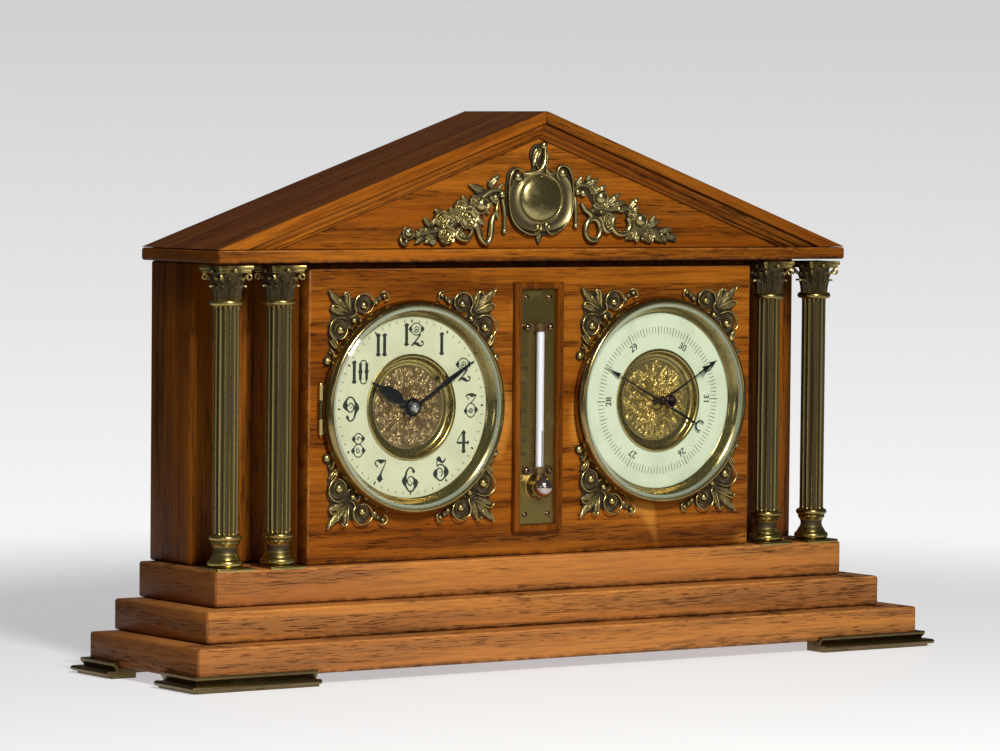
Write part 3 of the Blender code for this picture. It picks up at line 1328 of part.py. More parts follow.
def pressure_hand():
    """A thin arrow with a crescent on its tail, on the staff that turns it."""
    low, high = PRESSURE_HAND_FORWARD, PRESSURE_HAND_FORWARD + HAND_THICKNESS
    tail = PRESSURE_TAIL_LENGTH
    outline = arrow(
        PRESSURE_HAND_LENGTH,
        tail,
        PRESSURE_ARM_WIDTH,
        PRESSURE_ARROW_LENGTH,
        PRESSURE_ARROW_WIDTH,
    )
    top = (0, -tail + PRESSURE_ARM_WIDTH - CRESCENT_RADIUS)
    outer = arc(top, CRESCENT_RADIUS, -50, 230, 9)
    inner_radius = CRESCENT_RADIUS * CRESCENT_SHARE
    inner = arc((0, top[1] - CRESCENT_RADIUS + inner_radius), inner_radius, 225, -45, 8)
    shapes = [clockwise(shape, PRESSURE_HAND_ANGLE) for shape in (outline, outer + inner)]
    blade, crescent = [plate([shape], low, high) for shape in shapes]
    hub = rod(PRESSURE_HUB_RADIUS, low - SEAT, high + PRESSURE_HUB_HEIGHT)
    staff_foot = CAPSULE_BACK + CAPSULE_THICKNESS + CAPSULE_PILLAR_LENGTH + RUNNING_GAP
    staff = rod(STAFF_RADIUS, staff_foot, low, steps=TINY_STEPS)
    piece("pressure_hand", joined(blade, crescent, hub, staff), BLUED_STEEL, BAROMETER)


def set_hand():
    """The marker hand behind the glass, on the spindle of the knob before it."""
    neck_back = GLASS_FRONT + SEAT
    knob_back = neck_back + SET_NECK_LENGTH
    knob_front = knob_back + SET_KNOB_LENGTH
    boss_front = GLASS_BACK - SEAT
    boss_back = boss_front - SET_BOSS_LENGTH
    crown = SET_KNOB_RADIUS * KNOB_CROWN_SHARE
    profile = [
        (0, knob_front),
        (crown, knob_front),
        (SET_KNOB_RADIUS, knob_front - SET_KNOB_RADIUS + crown),
        (SET_KNOB_RADIUS, knob_back),
        (SET_NECK_RADIUS, knob_back),
        (SET_NECK_RADIUS, neck_back),
        (SET_SPINDLE_RADIUS, neck_back),
        (SET_SPINDLE_RADIUS, boss_front),
        (SET_BOSS_RADIUS, boss_front),
        (SET_BOSS_RADIUS, boss_back),
        (0, boss_back),
    ]
    outline = arrow(SET_HAND_LENGTH, 0, PRESSURE_ARM_WIDTH, SET_ARROW_LENGTH, SET_ARROW_WIDTH)
    low = SET_HAND_FORWARD
    blade = plate([clockwise(outline, SET_HAND_ANGLE)], low, low + SET_HAND_THICKNESS)
    piece("set_hand", joined(turned(profile, SMALL_STEPS), blade), BRASS_DARK, BAROMETER)


# Thermometer


def thermometer_frame():
    """A mitred bead of wood round the scale."""
    back = PANEL_FORWARD + SEAT
    half, member, depth = THERMO_HALF_WIDTH, THERMO_MEMBER, THERMO_FRAME_DEPTH
    shoulder = back + depth / 2
    bead = arc((member / 2, shoulder), member / 2, 180, 0, 6)
    section = [(0, back), *[(t, shoulder + (f - shoulder) * depth / member) for t, f in bead], (member, back)]
    corners = ((-1, 0), (1, 0), (1, 1), (-1, 1))
    rings = []
    for side, end in corners:
        rings.append(
            [
                (side * (half - t), THERMO_TOP - t if end else THERMO_BOTTOM + t, forward)
                for t, forward in section
            ]
        )
    piece("thermometer_frame", loft(rings, closed=True), OAK, FRONT)


def thermometer():
    """The scale plate, the tube with the bulb that stands forward at its foot, and the two clips over it."""
    back = PANEL_FORWARD + SEAT
    inset = THERMO_MEMBER + SEAT
    half, low, high = THERMO_HALF_WIDTH - inset, THERMO_BOTTOM + inset, THERMO_TOP - inset
    scale = plate([rectangle(half, low, high)], back, back + SCALE_PLATE_THICKNESS)
    piece("thermometer_plate", scale, BRASS, FRONT)
    length = TUBE_TOP - BULB_HEIGHT
    crown = arc((0, length - TUBE_RADIUS), TUBE_RADIUS, 90, 0, 3)
    stem = spun(turned([*crown, (TUBE_RADIUS, 0), (0, 0)], SMALL_STEPS), -math.pi / 2, "X")
    stem = moved(stem, (0, BULB_HEIGHT, TUBE_FORWARD))
    bulb = ball(BULB_RADIUS, (0, BULB_HEIGHT, BULB_FORWARD), steps=FINE_STEPS)
    piece("thermometer_tube", joined(stem, bulb), GLASS, FRONT)
    clip_back = back + SCALE_PLATE_THICKNESS + SEAT
    clip_front = clip_back + CLIP_THICKNESS
    inner, outer = TUBE_RADIUS + SEAT, TUBE_RADIUS + SEAT + CLIP_THICKNESS
    over = [(-CLIP_HALF_WIDTH, clip_back), (-CLIP_HALF_WIDTH, clip_front), (-outer, clip_front)]
    over += arc((0, TUBE_FORWARD), outer, 180, 0, 5)
    over += [(outer, clip_front), (CLIP_HALF_WIDTH, clip_front), (CLIP_HALF_WIDTH, clip_back)]
    over += [(inner, clip_back), *arc((0, TUBE_FORWARD), inner, 0, 180, 5), (-inner, clip_back)]
    mesh = settled(spun(plate([over], -CLIP_HEIGHT / 2, CLIP_HEIGHT / 2), math.pi / 2, "X"))
    for name, height in (("upper", UPPER_CLIP_HEIGHT), ("lower", LOWER_CLIP_HEIGHT)):
        piece(f"thermometer_clip_{name}", mesh, BRASS, FRONT, (0, height, 0))


# Mounts


def dome(radius, height, base, at, steps=TINY_STEPS, rise_steps=2):
    """A round boss with a flat back, height proud of its rim and base deep under it."""
    angles = [math.radians(90 - 90 * step / rise_steps) for step in range(1, rise_steps + 1)]
    crown = [(radius * math.cos(a), height * math.sin(a)) for a in angles]
    foot = [(radius, -base), (0, -base)] if base else [(0, 0)]
    return moved(turned([(0, height), *crown, *foot], steps), at)


def leaf_plate(at, angle, length, low, high):
    """A pointed leaf that grows from a place at an angle in degrees."""
    half = [(0, 0)] + [(length * w, length * l) for w, l in LEAF_HALF_SHARES] + [(0, length)]
    outline = half + [(-x, y) for x, y in reversed(half[1:-1])]
    turned_outline = clockwise(outline, math.radians(90 - angle))
    return plate([[(x + at[0], y + at[1]) for x, y in turned_outline]], low, high)


def spandrel_mesh():
    """A corner mount: a pierced-edge plate with scrolls and graded balls, wider along the top."""
    reach = SPANDREL_REACH
    along = [(u, v) for u, v in SPANDREL_OUTLINE_SHARES]
    down = [(v - SPANDREL_LEAN_SHARE * u, u) for u, v in reversed(along[1:-1])]
    outline = [(u * reach, v * reach) for u, v in along + down]
    parts = [plate([outline], 0, SPANDREL_PLATE)]
    u, v, radius = SPANDREL_SCROLL_SHARES
    for place in ((u, v), (v - SPANDREL_LEAN_SHARE * u, u)):
        at = (place[0] * reach, place[1] * reach, SPANDREL_PLATE)
        parts.append(dome(radius * reach, SPANDREL_RIB, SPANDREL_PLATE / 2, at, TINY_STEPS, 1))
    for u, v, size in SPANDREL_BALL_SHARES:
        radius = SPANDREL_BALL * size
        places = {(u, v), (v - SPANDREL_LEAN_SHARE * u, u)} if u > SPANDREL_MIDDLE_SHARE else {(u, v)}
        for place in sorted(places):
            at = (place[0] * reach, place[1] * reach, SPANDREL_PLATE)
            parts.append(dome(radius, radius, SPANDREL_PLATE / 2, at, BUD_STEPS))
    return settled(joined(*parts))


def spandrels():
    mesh = spandrel_mesh()
    seat = PANEL_FORWARD + SEAT
    for dial, carrier in (("clock", TIMEPIECE), ("barometer", BAROMETER)):
        for height, rise in (("top", 1), ("bottom", -1)):
            for side, sign in (("left", -1), ("right", 1)):
                at = (sign * SPANDREL_ACROSS, rise * SPANDREL_UP, seat)
                name = f"{dial}_spandrel_{height}_{side}"
                piece(name, mesh, BRASS_DARK, carrier, at, (-sign, -rise, 1))


def cartouche():
    """A shield with a convex boss, scrolled shoulders, a pointed drop and a stem with its finial."""
    seat = PANEL_FORWARD + SEAT
    width, middle = CARTOUCHE_WIDTH, CARTOUCHE_HEIGHT
    right = [(width * x, middle + width * z) for x, z in CARTOUCHE_OUTLINE_SHARES]
    outline = right + [(-x, z) for x, z in reversed(right[1:-1])]
    front = seat + CARTOUCHE_PLATE
    shield = plate([outline], seat, front)
    boss = dome(BOSS_RADIUS, BOSS_HEIGHT, CARTOUCHE_PLATE / 2, (0, middle, front), FINE_STEPS, 3)
    scrolls = []
    for sign in (-1, 1):
        x, z = CARTOUCHE_VOLUTE_SHARES
        at = (sign * width * x, middle + width * z, front)
        scrolls.append(dome(CARTOUCHE_VOLUTE, CARTOUCHE_VOLUTE, CARTOUCHE_PLATE / 2, at))
    route = [(width * x, middle + width * z, seat + STEM_RADIUS + WIRE_LIFT) for x, z in STEM_SHARES]
    stem = tube(route, STEM_RADIUS, 1)
    top = route[-1]
    finial = ball(FINIAL_RADIUS, (top[0], top[1], seat + FINIAL_RADIUS))
    leaf = leaf_plate(route[-2], STEM_LEAF_ANGLE, STEM_LEAF_LENGTH, seat, seat + GARLAND_PLATE)
    piece("pediment_cartouche", joined(shield, boss, *scrolls, stem, finial, leaf), BRASS_DARK, FRONT)


def garland(name, sign, stem_shares, bud_shares, leaf_shares, loop_shares):
    """A spray of roses, buds and leaves on one stem, with a ribbon loop and a beaded drop."""
    seat = PANEL_FORWARD + SEAT

    def place(across, up, forward=0):
        reach = GARLAND_REACH
        return (sign * (GARLAND_START + across * reach), PEDIMENT_BOTTOM + up * reach, forward)

    wire = seat + GARLAND_STEM + WIRE_LIFT
    stem = [place(*share, wire) for share in stem_shares]
    parts = [tube(stem, GARLAND_STEM)]
    for across, up, size in bud_shares:
        centre = place(across, up, seat)
        radius = size * GARLAND_REACH
        nearest = min(stem, key=lambda point: math.dist(point[:2], centre[:2]))
        if math.dist(nearest[:2], centre[:2]) > radius:
            parts.append(tube([nearest, (centre[0], centre[1], wire)], GARLAND_TWIG))
        parts.append(dome(radius, radius * BUD_RISE_SHARE, 0, centre, BUD_STEPS))
    for across, up, length, angle in leaf_shares:
        foot = place(across, up)
        nearest = min(stem, key=lambda point: math.dist(point[:2], foot[:2]))
        turn = angle if sign > 0 else 180 - angle
        blade = length * GARLAND_REACH
        rib = polar(blade / 2, math.radians(turn))
        parts.append(tube([nearest, (foot[0] + rib[0], foot[1] + rib[1], wire)], GARLAND_TWIG))
        parts.append(leaf_plate(foot, turn, blade, seat, seat + GARLAND_PLATE))
    loop = [place(*share, seat + GARLAND_TWIG + WIRE_LIFT) for share in loop_shares]
    parts.append(tube([stem[1], *loop, stem[2]], GARLAND_TWIG))
    head = (sign * GARLAND_START, PEDIMENT_BOTTOM + DROP_TOP, wire)
    foot = (head[0], head[1] - DROP_LENGTH, seat + DROP_RADIUS + WIRE_LIFT)
    parts.append(tube([stem[0], head, foot], DROP_RADIUS))
    parts.append(dome(DROP_BEAD, DROP_BEAD, 0, (foot[0], foot[1], seat), BUD_STEPS))
    piece(name, joined(*parts), BRASS_DARK, FRONT)


def garlands():
    garland(
        "garland_left",
        -1,
        GARLAND_LEFT_STEM_SHARES,
        GARLAND_LEFT_BALL_SHARES,
        GARLAND_LEFT_LEAF_SHARES,
        GARLAND_LEFT_LOOP_SHARES,
    )
    garland(
        "garland_right",
        1,
        GARLAND_RIGHT_STEM_SHARES,
        GARLAND_RIGHT_BALL_SHARES,
        GARLAND_RIGHT_LEAF_SHARES,
        GARLAND_RIGHT_LOOP_SHARES,
    )


# Everything together

clear_scene()
PARTS = new_collection("barometer_clock")
CUTTERS = new_collection("cutters")
PLAN = frame("plan", 0, 0, turned_to_front=False)
FRONT = frame("front", 0, 0)
TIMEPIECE = frame("timepiece_axis", -DIAL_SPREAD, DIAL_HEIGHT)
BAROMETER = frame("barometer_axis", DIAL_SPREAD, DIAL_HEIGHT)
BARREL = frame("barrel_axis", -DIAL_SPREAD + BARREL_PLACE[0], DIAL_HEIGHT + BARREL_PLACE[1])
MINUTE_WHEEL = frame("minute_wheel_axis", -DIAL_SPREAD + STUD_PLACE[0], DIAL_HEIGHT + STUD_PLACE[1])
DOOR = frame("door_hinge", -DIAL_SPREAD - HINGE_OFFSET, DIAL_HEIGHT, HINGE_FORWARD)

base_steps()
feet()
case_body()
panel_and_back()
cornice_and_roof()
raking_mouldings()
gables()
columns()
movement_case()
aneroid_case()
dials()
dial_centre("clock_dial_centre", HOUR_PIPE_RADIUS + RUNNING_GAP, TIMEPIECE)
dial_centre("barometer_dial_centre", STAFF_RADIUS + RUNNING_GAP, BAROMETER)
bezels()
glasses()
hour_hand()
minute_hand()
centre_arbor()
motion_wheels()
movement_plates()
mainspring_barrel()
winding_key()
setting_knob()
aneroid_capsule()
pressure_hand()
set_hand()
thermometer_frame()
thermometer()
spandrels()
cartouche()
garlands()
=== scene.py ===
"""Barometer clock: the finished look of an oak temple front with brass mounts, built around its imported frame.

Metres, +Z up, the dials face -Y. A place on the front is given as (across, up, forward), with
forward counted from the flat back of the case. Profiles, outlines, tables of points and the named
sizes below are in plain millimetres. Places and sizes in metres are written as millimetres times MM.
"""

import itertools
import math
import random

import bpy
import numpy as np
from mathutils import Matrix, Vector, kdtree


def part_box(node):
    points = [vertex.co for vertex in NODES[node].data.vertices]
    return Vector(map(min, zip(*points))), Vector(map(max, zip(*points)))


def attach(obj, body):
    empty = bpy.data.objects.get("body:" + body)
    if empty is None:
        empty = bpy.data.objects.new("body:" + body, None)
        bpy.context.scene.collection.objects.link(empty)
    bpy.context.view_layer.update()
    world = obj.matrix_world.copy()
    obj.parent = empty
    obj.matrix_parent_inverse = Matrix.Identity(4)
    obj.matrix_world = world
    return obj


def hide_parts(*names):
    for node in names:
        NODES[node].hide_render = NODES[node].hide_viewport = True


MM = 0.001
BACK = 54.2 * MM
CLOCK = (-81.2 * MM, 139 * MM)
BAROMETER = (81.2 * MM, 139 * MM)
SEAT = 69.9 * MM

# Plain millimetres
PRINT, FILM = 70.43, 0.03
GLASS_FLAT, GLASS_EDGE = 51.3, 53.3
HOUR_RING, NUMBER_RING = 38.3, 33.2
MOUNT_ACROSS, MOUNT_UP = 54.2, 63.2
BOSS_UP = 249.2
ROOF_RISE, ROOF_RUN = 73.4, 205.4
COLUMN_AXIS, COLUMN_FOOT, BELL_FOOT = 65.8, 57.9, 140.0
HINGE_ACROSS, HINGE_FORWARD, HINGE_UP = -138.6, 71.3, 139
PLATE_FACE, CLIP_FACE = 70.6, 71.2
STEM_AXIS, BULB_AXIS = 73.4, 76.4
BULB_UP, BULB_RADIUS, BULB_NECK = 94.5, 5.8, 98.8
TICK_FOOT, TICK_STEP = 107.35, 1.53
FILIGREE_IN, FILIGREE_OUT = 2.4, 21.7
HOUR_LEVEL, MINUTE_LEVEL, PRESSURE_LEVEL, SET_LEVEL = 71.6, 73.2, 71.6, 74.9
HAND_THICK = 0.7
LENS = 175.51
VIEWPOINT = (-1516.34, -2144.19, 277.69)

# Degrees, those of the hands clockwise from the top
SCALE_START, INCH = 150, 60
HOUR_TURN, MINUTE_TURN, PRESSURE_TURN, SET_TURN = -62, 57.7, -62.5, 59.8
VIEW_TURN, VIEW_DIP, VIEW_ROLL = 35.038, 2.711, 0.531

# The thickness of printed ink, as a share of that of the strands it is pressed from
INK_SHARE = 0.018

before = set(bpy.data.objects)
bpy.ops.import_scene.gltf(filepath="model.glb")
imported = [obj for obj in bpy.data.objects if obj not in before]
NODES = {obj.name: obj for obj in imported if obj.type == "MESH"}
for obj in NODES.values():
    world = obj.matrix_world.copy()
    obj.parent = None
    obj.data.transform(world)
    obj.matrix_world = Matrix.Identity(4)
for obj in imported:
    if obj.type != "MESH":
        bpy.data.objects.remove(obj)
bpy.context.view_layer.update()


# Shader building


class Field:
    """A number that varies over a surface. Sums and products on it add Math nodes."""

    def __init__(self, look, socket):
        self.look = look
        self.socket = socket

    def math(self, operation, *others):
        return self.look.node("Math", {"operation": operation}, dict(enumerate((self, *others))))

    def __add__(self, other):
        return self.math("ADD", other)

    __radd__ = __add__

    def __sub__(self, other):
        return self.math("SUBTRACT", other)

    def __rsub__(self, other):
        return self * -1 + other

    def __mul__(self, other):
        return self.math("MULTIPLY", other)

    __rmul__ = __mul__

    def __pow__(self, other):
        return self.math("POWER", other)

    def __abs__(self):
        return self.math("ABSOLUTE")

    def least(self, other):
        return self.math("MINIMUM", other)

    def most(self, other):
        return self.math("MAXIMUM", other)

    def rise(self, low, high):
        """0 below low, 1 above high and smooth between them."""
        settings = {"interpolation_type": "SMOOTHSTEP"}
        return self.look.node("MapRange", settings, {"Value": self, "From Min": low, "From Max": high})


class Nodes:
    """A node tree under construction: a material's or the world's."""

    def __init__(self, tree):
        self.tree = tree

    def put(self, socket, value):
        if isinstance(value, Field):
            self.tree.links.new(value.socket, socket)
        elif isinstance(value, tuple) and socket.type == "RGBA" and len(value) == 3:
            socket.default_value = (*value, 1)
        else:
            socket.default_value = value

    def node(self, kind, settings=None, inputs=None, output=0):
        made = self.tree.nodes.new("ShaderNode" + kind)
        for key, value in (settings or {}).items():
            if key == "stops":
                self.stops(made.color_ramp.elements, value)
            else:
                setattr(made, key, value)
        for key, value in (inputs or {}).items():
            self.put(made.inputs[key], value)
        return Field(self, made.outputs[output])

    def stops(self, elements, table):
        """Sets a ramp's stops, each a position and a grey."""
        while len(elements) < len(table):
            elements.new(0.5)
        for stop, (position, grey) in zip(elements, table):
            stop.position, stop.color = position, (grey, grey, grey, 1)

    def split(self, vector):
        """The X, Y and Z of a vector."""
        return [self.node("SeparateXYZ", None, {0: vector}, output=axis) for axis in range(3)]

    def end(self, surface, output):
        """Links a surface to the tree's output node."""
        self.tree.links.new(surface.socket, self.tree.nodes[output].inputs["Surface"])


class Look(Nodes):
    """A material under construction."""

    def __init__(self, name, **sockets):
        self.material = bpy.data.materials.new(name)
        self.material.use_nodes = True
        super().__init__(self.material.node_tree)
        self.shader = self.tree.nodes["Principled BSDF"]
        self.wear(**sockets)
        self.place = self.node("TexCoord", output="Object")

    def wear(self, **sockets):
        """Sets the shader's sockets, named with _ for a space."""
        for name, value in sockets.items():
            self.put(self.shader.inputs[name.replace("_", " ")], value)

    def mix(self, share, first, second):
        """The first colour, going over to the second as share goes from 0 to 1."""
        settings = {"data_type": "RGBA", "clamp_factor": True}
        return self.node("Mix", settings, {0: share, 6: first, 7: second}, output=2)

    def mapped(self, scale=(1, 1, 1), turn=(0, 0, 0), shift=(0, 0, 0), place=None):
        """A place that is scaled, turned and shifted, for a texture."""
        inputs = {"Vector": place or self.place, "Location": shift, "Rotation": turn, "Scale": scale}
        return self.node("Mapping", None, inputs)

    def axes(self):
        """The across, back and up of a place, in metres."""
        return self.split(self.place)

    def noise(self, place, scale=1.0, detail=2.0, rough=0.5, twist=0.0):
        inputs = {"Vector": place, "Scale": scale, "Detail": detail, "Roughness": rough, "Distortion": twist}
        return self.node("TexNoise", None, inputs)

    def bump(self, height, distance, strength=1.0):
        return self.node("Bump", None, {"Height": height, "Distance": distance, "Strength": strength})

    def out(self, surface):
        """Gives the material another surface than its plain shader."""
        self.end(surface, "Material Output")
        return self.material


# Finishes

OAK_DEEP = (0.085, 0.020, 0.0020)
OAK_BODY = (0.250, 0.066, 0.0045)
OAK_PALE = (0.370, 0.118, 0.0095)
OAK_PORE = (0.034, 0.010, 0.0020)
OAK_FLECK = (0.52, 0.215, 0.030)
OAK_WORN = (0.52, 0.22, 0.055)
OAK_GRIME = (0.020, 0.010, 0.005)
# Painted shade: the dark brown laid on the end faces of boards and on roof tops.
OAK_PAINTED_SHADE = (0.050, 0.012, 0.0008)
OAK_FADED = (0.48, 0.27, 0.12)


def oak(
    name, grain=(0, 0, 0), tone=1.0, shift=0.0, flecks=0.0, box=None, gloss=0.34,
    returned=False, side_shade=0.0, top_shade=0.0, faded=0.0,
):
    """Varnished oak: broad colour bands, dark pores along the grain, worn arrises and dirt at the foot.

    On a returned board the grain follows the front and both ends. The side shade option paints shade on the end
    faces, the top shade option paints shade on the top of a board behind its front edge, and faded bleaches the
    whole board.
    """
    look = Look(name, Coat_Weight=0.03, Coat_Roughness=0.16, Specular_IOR_Level=0.06)
    along = look.mapped(turn=grain, shift=(shift, shift / 3, shift / 5))

    def stretched(lengthways, across):
        return look.mapped(scale=(lengthways, lengthways if returned else across, across), place=along)

    def toned(colour):
        return tuple(part * tone for part in colour)

    sway = look.noise(stretched(6, 26), detail=2)
    rings = look.noise(stretched(5, 120), detail=3, twist=0.5)
    streak = look.noise(stretched(16, 520), detail=4, rough=0.62)
    fine = look.noise(stretched(70, 1700), detail=2)
    porous = rings.rise(0.40, 0.60)
    pores = look.noise(stretched(75, 1750), detail=1.5).rise(0.575, 0.655) * (porous * 0.8 + 0.2)
    combed = look.noise(stretched(40, 2300), detail=2).rise(0.58, 0.70) * porous
    gaps = look.noise(stretched(55, 1050), detail=2).rise(0.615, 0.68) * rings.rise(0.48, 0.62)
    colour = look.mix(sway.rise(0.30, 0.70), toned(OAK_BODY), toned(OAK_PALE))
    colour = look.mix(rings.rise(0.42, 0.72) * 0.70, colour, toned(OAK_DEEP))
    colour = look.mix(streak.rise(0.42, 0.74) * 0.62, colour, toned(OAK_DEEP))
    colour = look.mix(fine.rise(0.45, 0.8) * 0.30, colour, toned(OAK_DEEP))
    if flecks:
        slanted = look.mapped(scale=(34, 1, 11), turn=(0, math.radians(-32), 0), shift=(shift, 0, shift))
        fleck = look.noise(slanted, detail=0.6, twist=0.5).rise(0.63, 0.70)
        colour = look.mix(fleck * flecks, colour, toned(OAK_FLECK))
    if faded:
        colour = look.mix(faded, colour, OAK_FADED)
    colour = look.mix(combed * 0.60, colour, toned(OAK_PORE))
    colour = look.mix(pores.most(gaps) * 0.85, colour, toned(OAK_PORE))
    if box:
        low, high = box
        edge = edge_distance(look, low, high)
        ragged = look.noise(look.place, scale=170, detail=3)
        height = look.axes()[2] - low[2]
        grimy = height.rise(3.2 * MM, 0.2 * MM) * ragged.rise(0.25, 0.65)
        worn = (edge - ragged * 1.7 * MM + 0.85 * MM).rise(1.1 * MM, 0.15 * MM) * height.rise(3 * MM, 5 * MM)
        colour = look.mix(grimy * 0.75, colour, OAK_GRIME)
        colour = look.mix(worn * 0.55, colour, toned(OAK_WORN))
    # Painted shade: the end faces of the board are darkened, as shade on sides that face away from the light.
    if side_shade:
        across = look.axes()[0]
        end = (across - box[0][0]).least(across * -1 + box[1][0]).rise(1.6 * MM, 0.7 * MM)
        colour = look.mix(end * side_shade, colour, toned(OAK_PAINTED_SHADE))
    # Painted shade: the top of the board behind its front edge is darkened, as shade on a top that faces away
    # from the light.
    if top_shade:
        behind = (look.axes()[1] * -1 + BACK).rise(77.3 * MM, 76.6 * MM)
        colour = look.mix(behind * top_shade, colour, OAK_PAINTED_SHADE)
    rough = gloss + streak * 0.10 + pores * 0.25
    height = pores * -1 + combed * -0.6 + streak * -0.25 + fine * -0.15
    look.wear(Base_Color=colour, Roughness=rough, Normal=look.bump(height, 0.18 * MM, 0.75))
    return look.material


def edge_distance(look, low, high):
    """How far a place on a box is from the nearest edge: the second least distance to its faces."""
    near = []
    for axis, place in enumerate(look.axes()):
        near.append((place - low[axis]).least(place * -1 + high[axis]))
    x, y, z = near
    return x.least(y).most(x.most(y).least(z))


def brass(name, clean, dull, recess=None, rough=0.30, patina=0.85, cast=0.35):
    """Old brass: clean where it is handled, and dark in its recesses."""
    look = Look(name, Metallic=1.0)
    cloud = look.noise(look.place, scale=90, detail=4, rough=0.6)
    fine = look.noise(look.place, scale=900, detail=2)
    dirt = cloud.rise(0.52, 0.78) * 0.40 + fine.rise(0.56, 0.80) * 0.30
    if recess:
        dirt = dirt.most(recess(look) * patina)
    colour = look.mix(cloud.rise(0.25, 0.75), clean, tuple(part * 0.78 for part in clean))
    colour = look.mix(dirt, colour, dull)
    look.wear(
        Base_Color=colour,
        Roughness=dirt * 0.35 + cloud * 0.12 + (rough - 0.05),
        Metallic=dirt * -0.35 + 1,
        Normal=look.bump(cloud * 0.6 + fine * 0.4, 0.10 * MM, cast),
    )
    return look.material


def above_seat(low, high):
    """A recess that fades out from low to high over the seat of a mount, in millimetres."""

    def recess(look):
        forward = look.axes()[1] * -1 + BACK
        return (forward - SEAT).rise(high * MM, low * MM)

    return recess


def round_axis(across, low, high):
    """A recess that fades out from the low to the high radius round a column's axis, in millimetres."""

    def recess(look):
        x, y, _ = look.axes()
        dx, dy = x - across * MM, y - (BACK - COLUMN_AXIS * MM)
        return ((dx * dx + dy * dy) ** 0.5).rise(high * MM, low * MM)

    return recess


def enamel(name, colour, stain):
    """A fired dial with a cloudy tint and a few brown spots."""
    look = Look(name, Roughness=0.32, Coat_Weight=0.25, Coat_Roughness=0.1)
    cloud = look.noise(look.place, scale=55, detail=4)
    spots = look.noise(look.place, scale=520, detail=2).rise(0.70, 0.80)
    tone = look.mix(cloud.rise(0.35, 0.85) * 0.45, colour, stain)
    tone = look.mix(spots * 0.35, tone, tuple(part * 0.5 for part in stain))
    look.wear(Base_Color=tone, Normal=look.bump(cloud, 0.03 * MM, 0.3))
    return look.material


def ink(name, colour=(0.014, 0.016, 0.015)):
    """Black print or engraver's wax, a little worn."""
    look = Look(name)
    cloud = look.noise(look.place, scale=900, detail=2)
    tone = look.mix(cloud.rise(0.5, 0.9) * 0.3, colour, (0.06, 0.06, 0.05))
    look.wear(Base_Color=tone, Roughness=cloud * 0.2 + 0.35)
    return look.material


def steel(name, colour, rough, metallic=0.9):
    """Blued or bright steel, and the silvered bulb."""
    look = Look(name, Metallic=metallic)
    cloud = look.noise(look.place, scale=300, detail=3)
    tone = look.mix(cloud.rise(0.4, 0.8), colour, tuple(part * 0.6 for part in colour))
    look.wear(Base_Color=tone, Roughness=cloud * 0.15 + rough)
    return look.material


def window_glass(name, centre):
    """Clear glass whose bevel is painted as a partly solid silver green ring: a painted sheen."""
    look = Look(name, Metallic=0.0, Roughness=0.04, Specular_IOR_Level=0.5, Base_Color=(0.46, 0.53, 0.42))
    x, _, z = look.axes()
    dx, dz = x - centre[0], z - centre[1]
    radius = (dx * dx + dz * dz) ** 0.5
    # Painted sheen: the bevel ring is mixed towards a solid pale green grey surface, standing in for the light
    # the bevelled glass catches.
    bevel = radius.rise(GLASS_FLAT * MM - 0.1 * MM, GLASS_FLAT * MM + 0.3 * MM)
    smear = look.noise(look.place, scale=60, detail=2)
    glint = look.node("LayerWeight", None, {"Blend": 0.12}, output="Fresnel")
    share = (glint * 0.5 + smear * 0.015 + bevel * 0.38).least(1)
    clear = look.node("BsdfTransparent", None, {"Color": (0.97, 0.985, 0.965, 1)})
    shine = Field(look, look.shader.outputs[0])
    return look.out(look.node("MixShader", None, {0: share, 1: clear, 2: shine}))


def stem_glass(name):
    """White backed glass with its bore showing as a grey line, dark where the spirit stands."""
    look = Look(name, Roughness=0.08, Coat_Weight=0.6, Coat_Roughness=0.05)
    x, _, z = look.axes()
    bore = abs(x - 0.3 * MM).rise(0.75 * MM, 0.25 * MM)
    wet = z.rise(124.9 * MM, 124.3 * MM)
    rim = abs(x).rise(1.4 * MM, 2.0 * MM)
    cloud = look.noise(look.mapped(scale=(600, 600, 30)), detail=2)
    tone = look.mix(cloud.rise(0.3, 0.8) * 0.3, (0.86, 0.87, 0.93), (0.62, 0.66, 0.74))
    tone = look.mix(rim * 0.5, tone, (0.42, 0.52, 0.58))
    tone = look.mix(bore * 0.45, tone, (0.35, 0.38, 0.44))
    tone = look.mix(bore * wet * 0.85, tone, (0.05, 0.05, 0.06))
    look.wear(Base_Color=tone)
    return look.material


# Modelling by hand


def fresh():
    """Goes back to object mode with nothing selected."""
    if bpy.context.mode != "OBJECT":
        bpy.ops.object.mode_set(mode="OBJECT")
    bpy.ops.object.select_all(action="DESELECT")


def active(item):
    fresh()
    item.select_set(True)
    bpy.context.view_layer.objects.active = item
    return item


def sound(item):
    """Merges doubles and turns every face outwards."""
    active(item)
    bpy.ops.object.mode_set(mode="EDIT")
    bpy.ops.mesh.select_all(action="SELECT")
    bpy.ops.mesh.remove_doubles(threshold=0.000002)
    bpy.ops.mesh.normals_make_consistent(inside=False)
    bpy.ops.object.mode_set(mode="OBJECT")
    return item


def changed(item, kind, **settings):
    """Applies one modifier."""
    active(item)
    modifier = item.modifiers.new(kind.lower(), kind)
    for key, value in settings.items():
        setattr(modifier, key, value)
    bpy.ops.object.modifier_apply(modifier=modifier.name)
    return item


def round_over(x, y, across, up, start, end, step):
    """Points of a rounded moulding: part of an oval about (x, y), every step of whole degrees."""
    turns = [math.radians(degrees) for degrees in range(start, end, step)]
    return [(x + across * math.cos(turn), y + up * math.sin(turn)) for turn in turns]


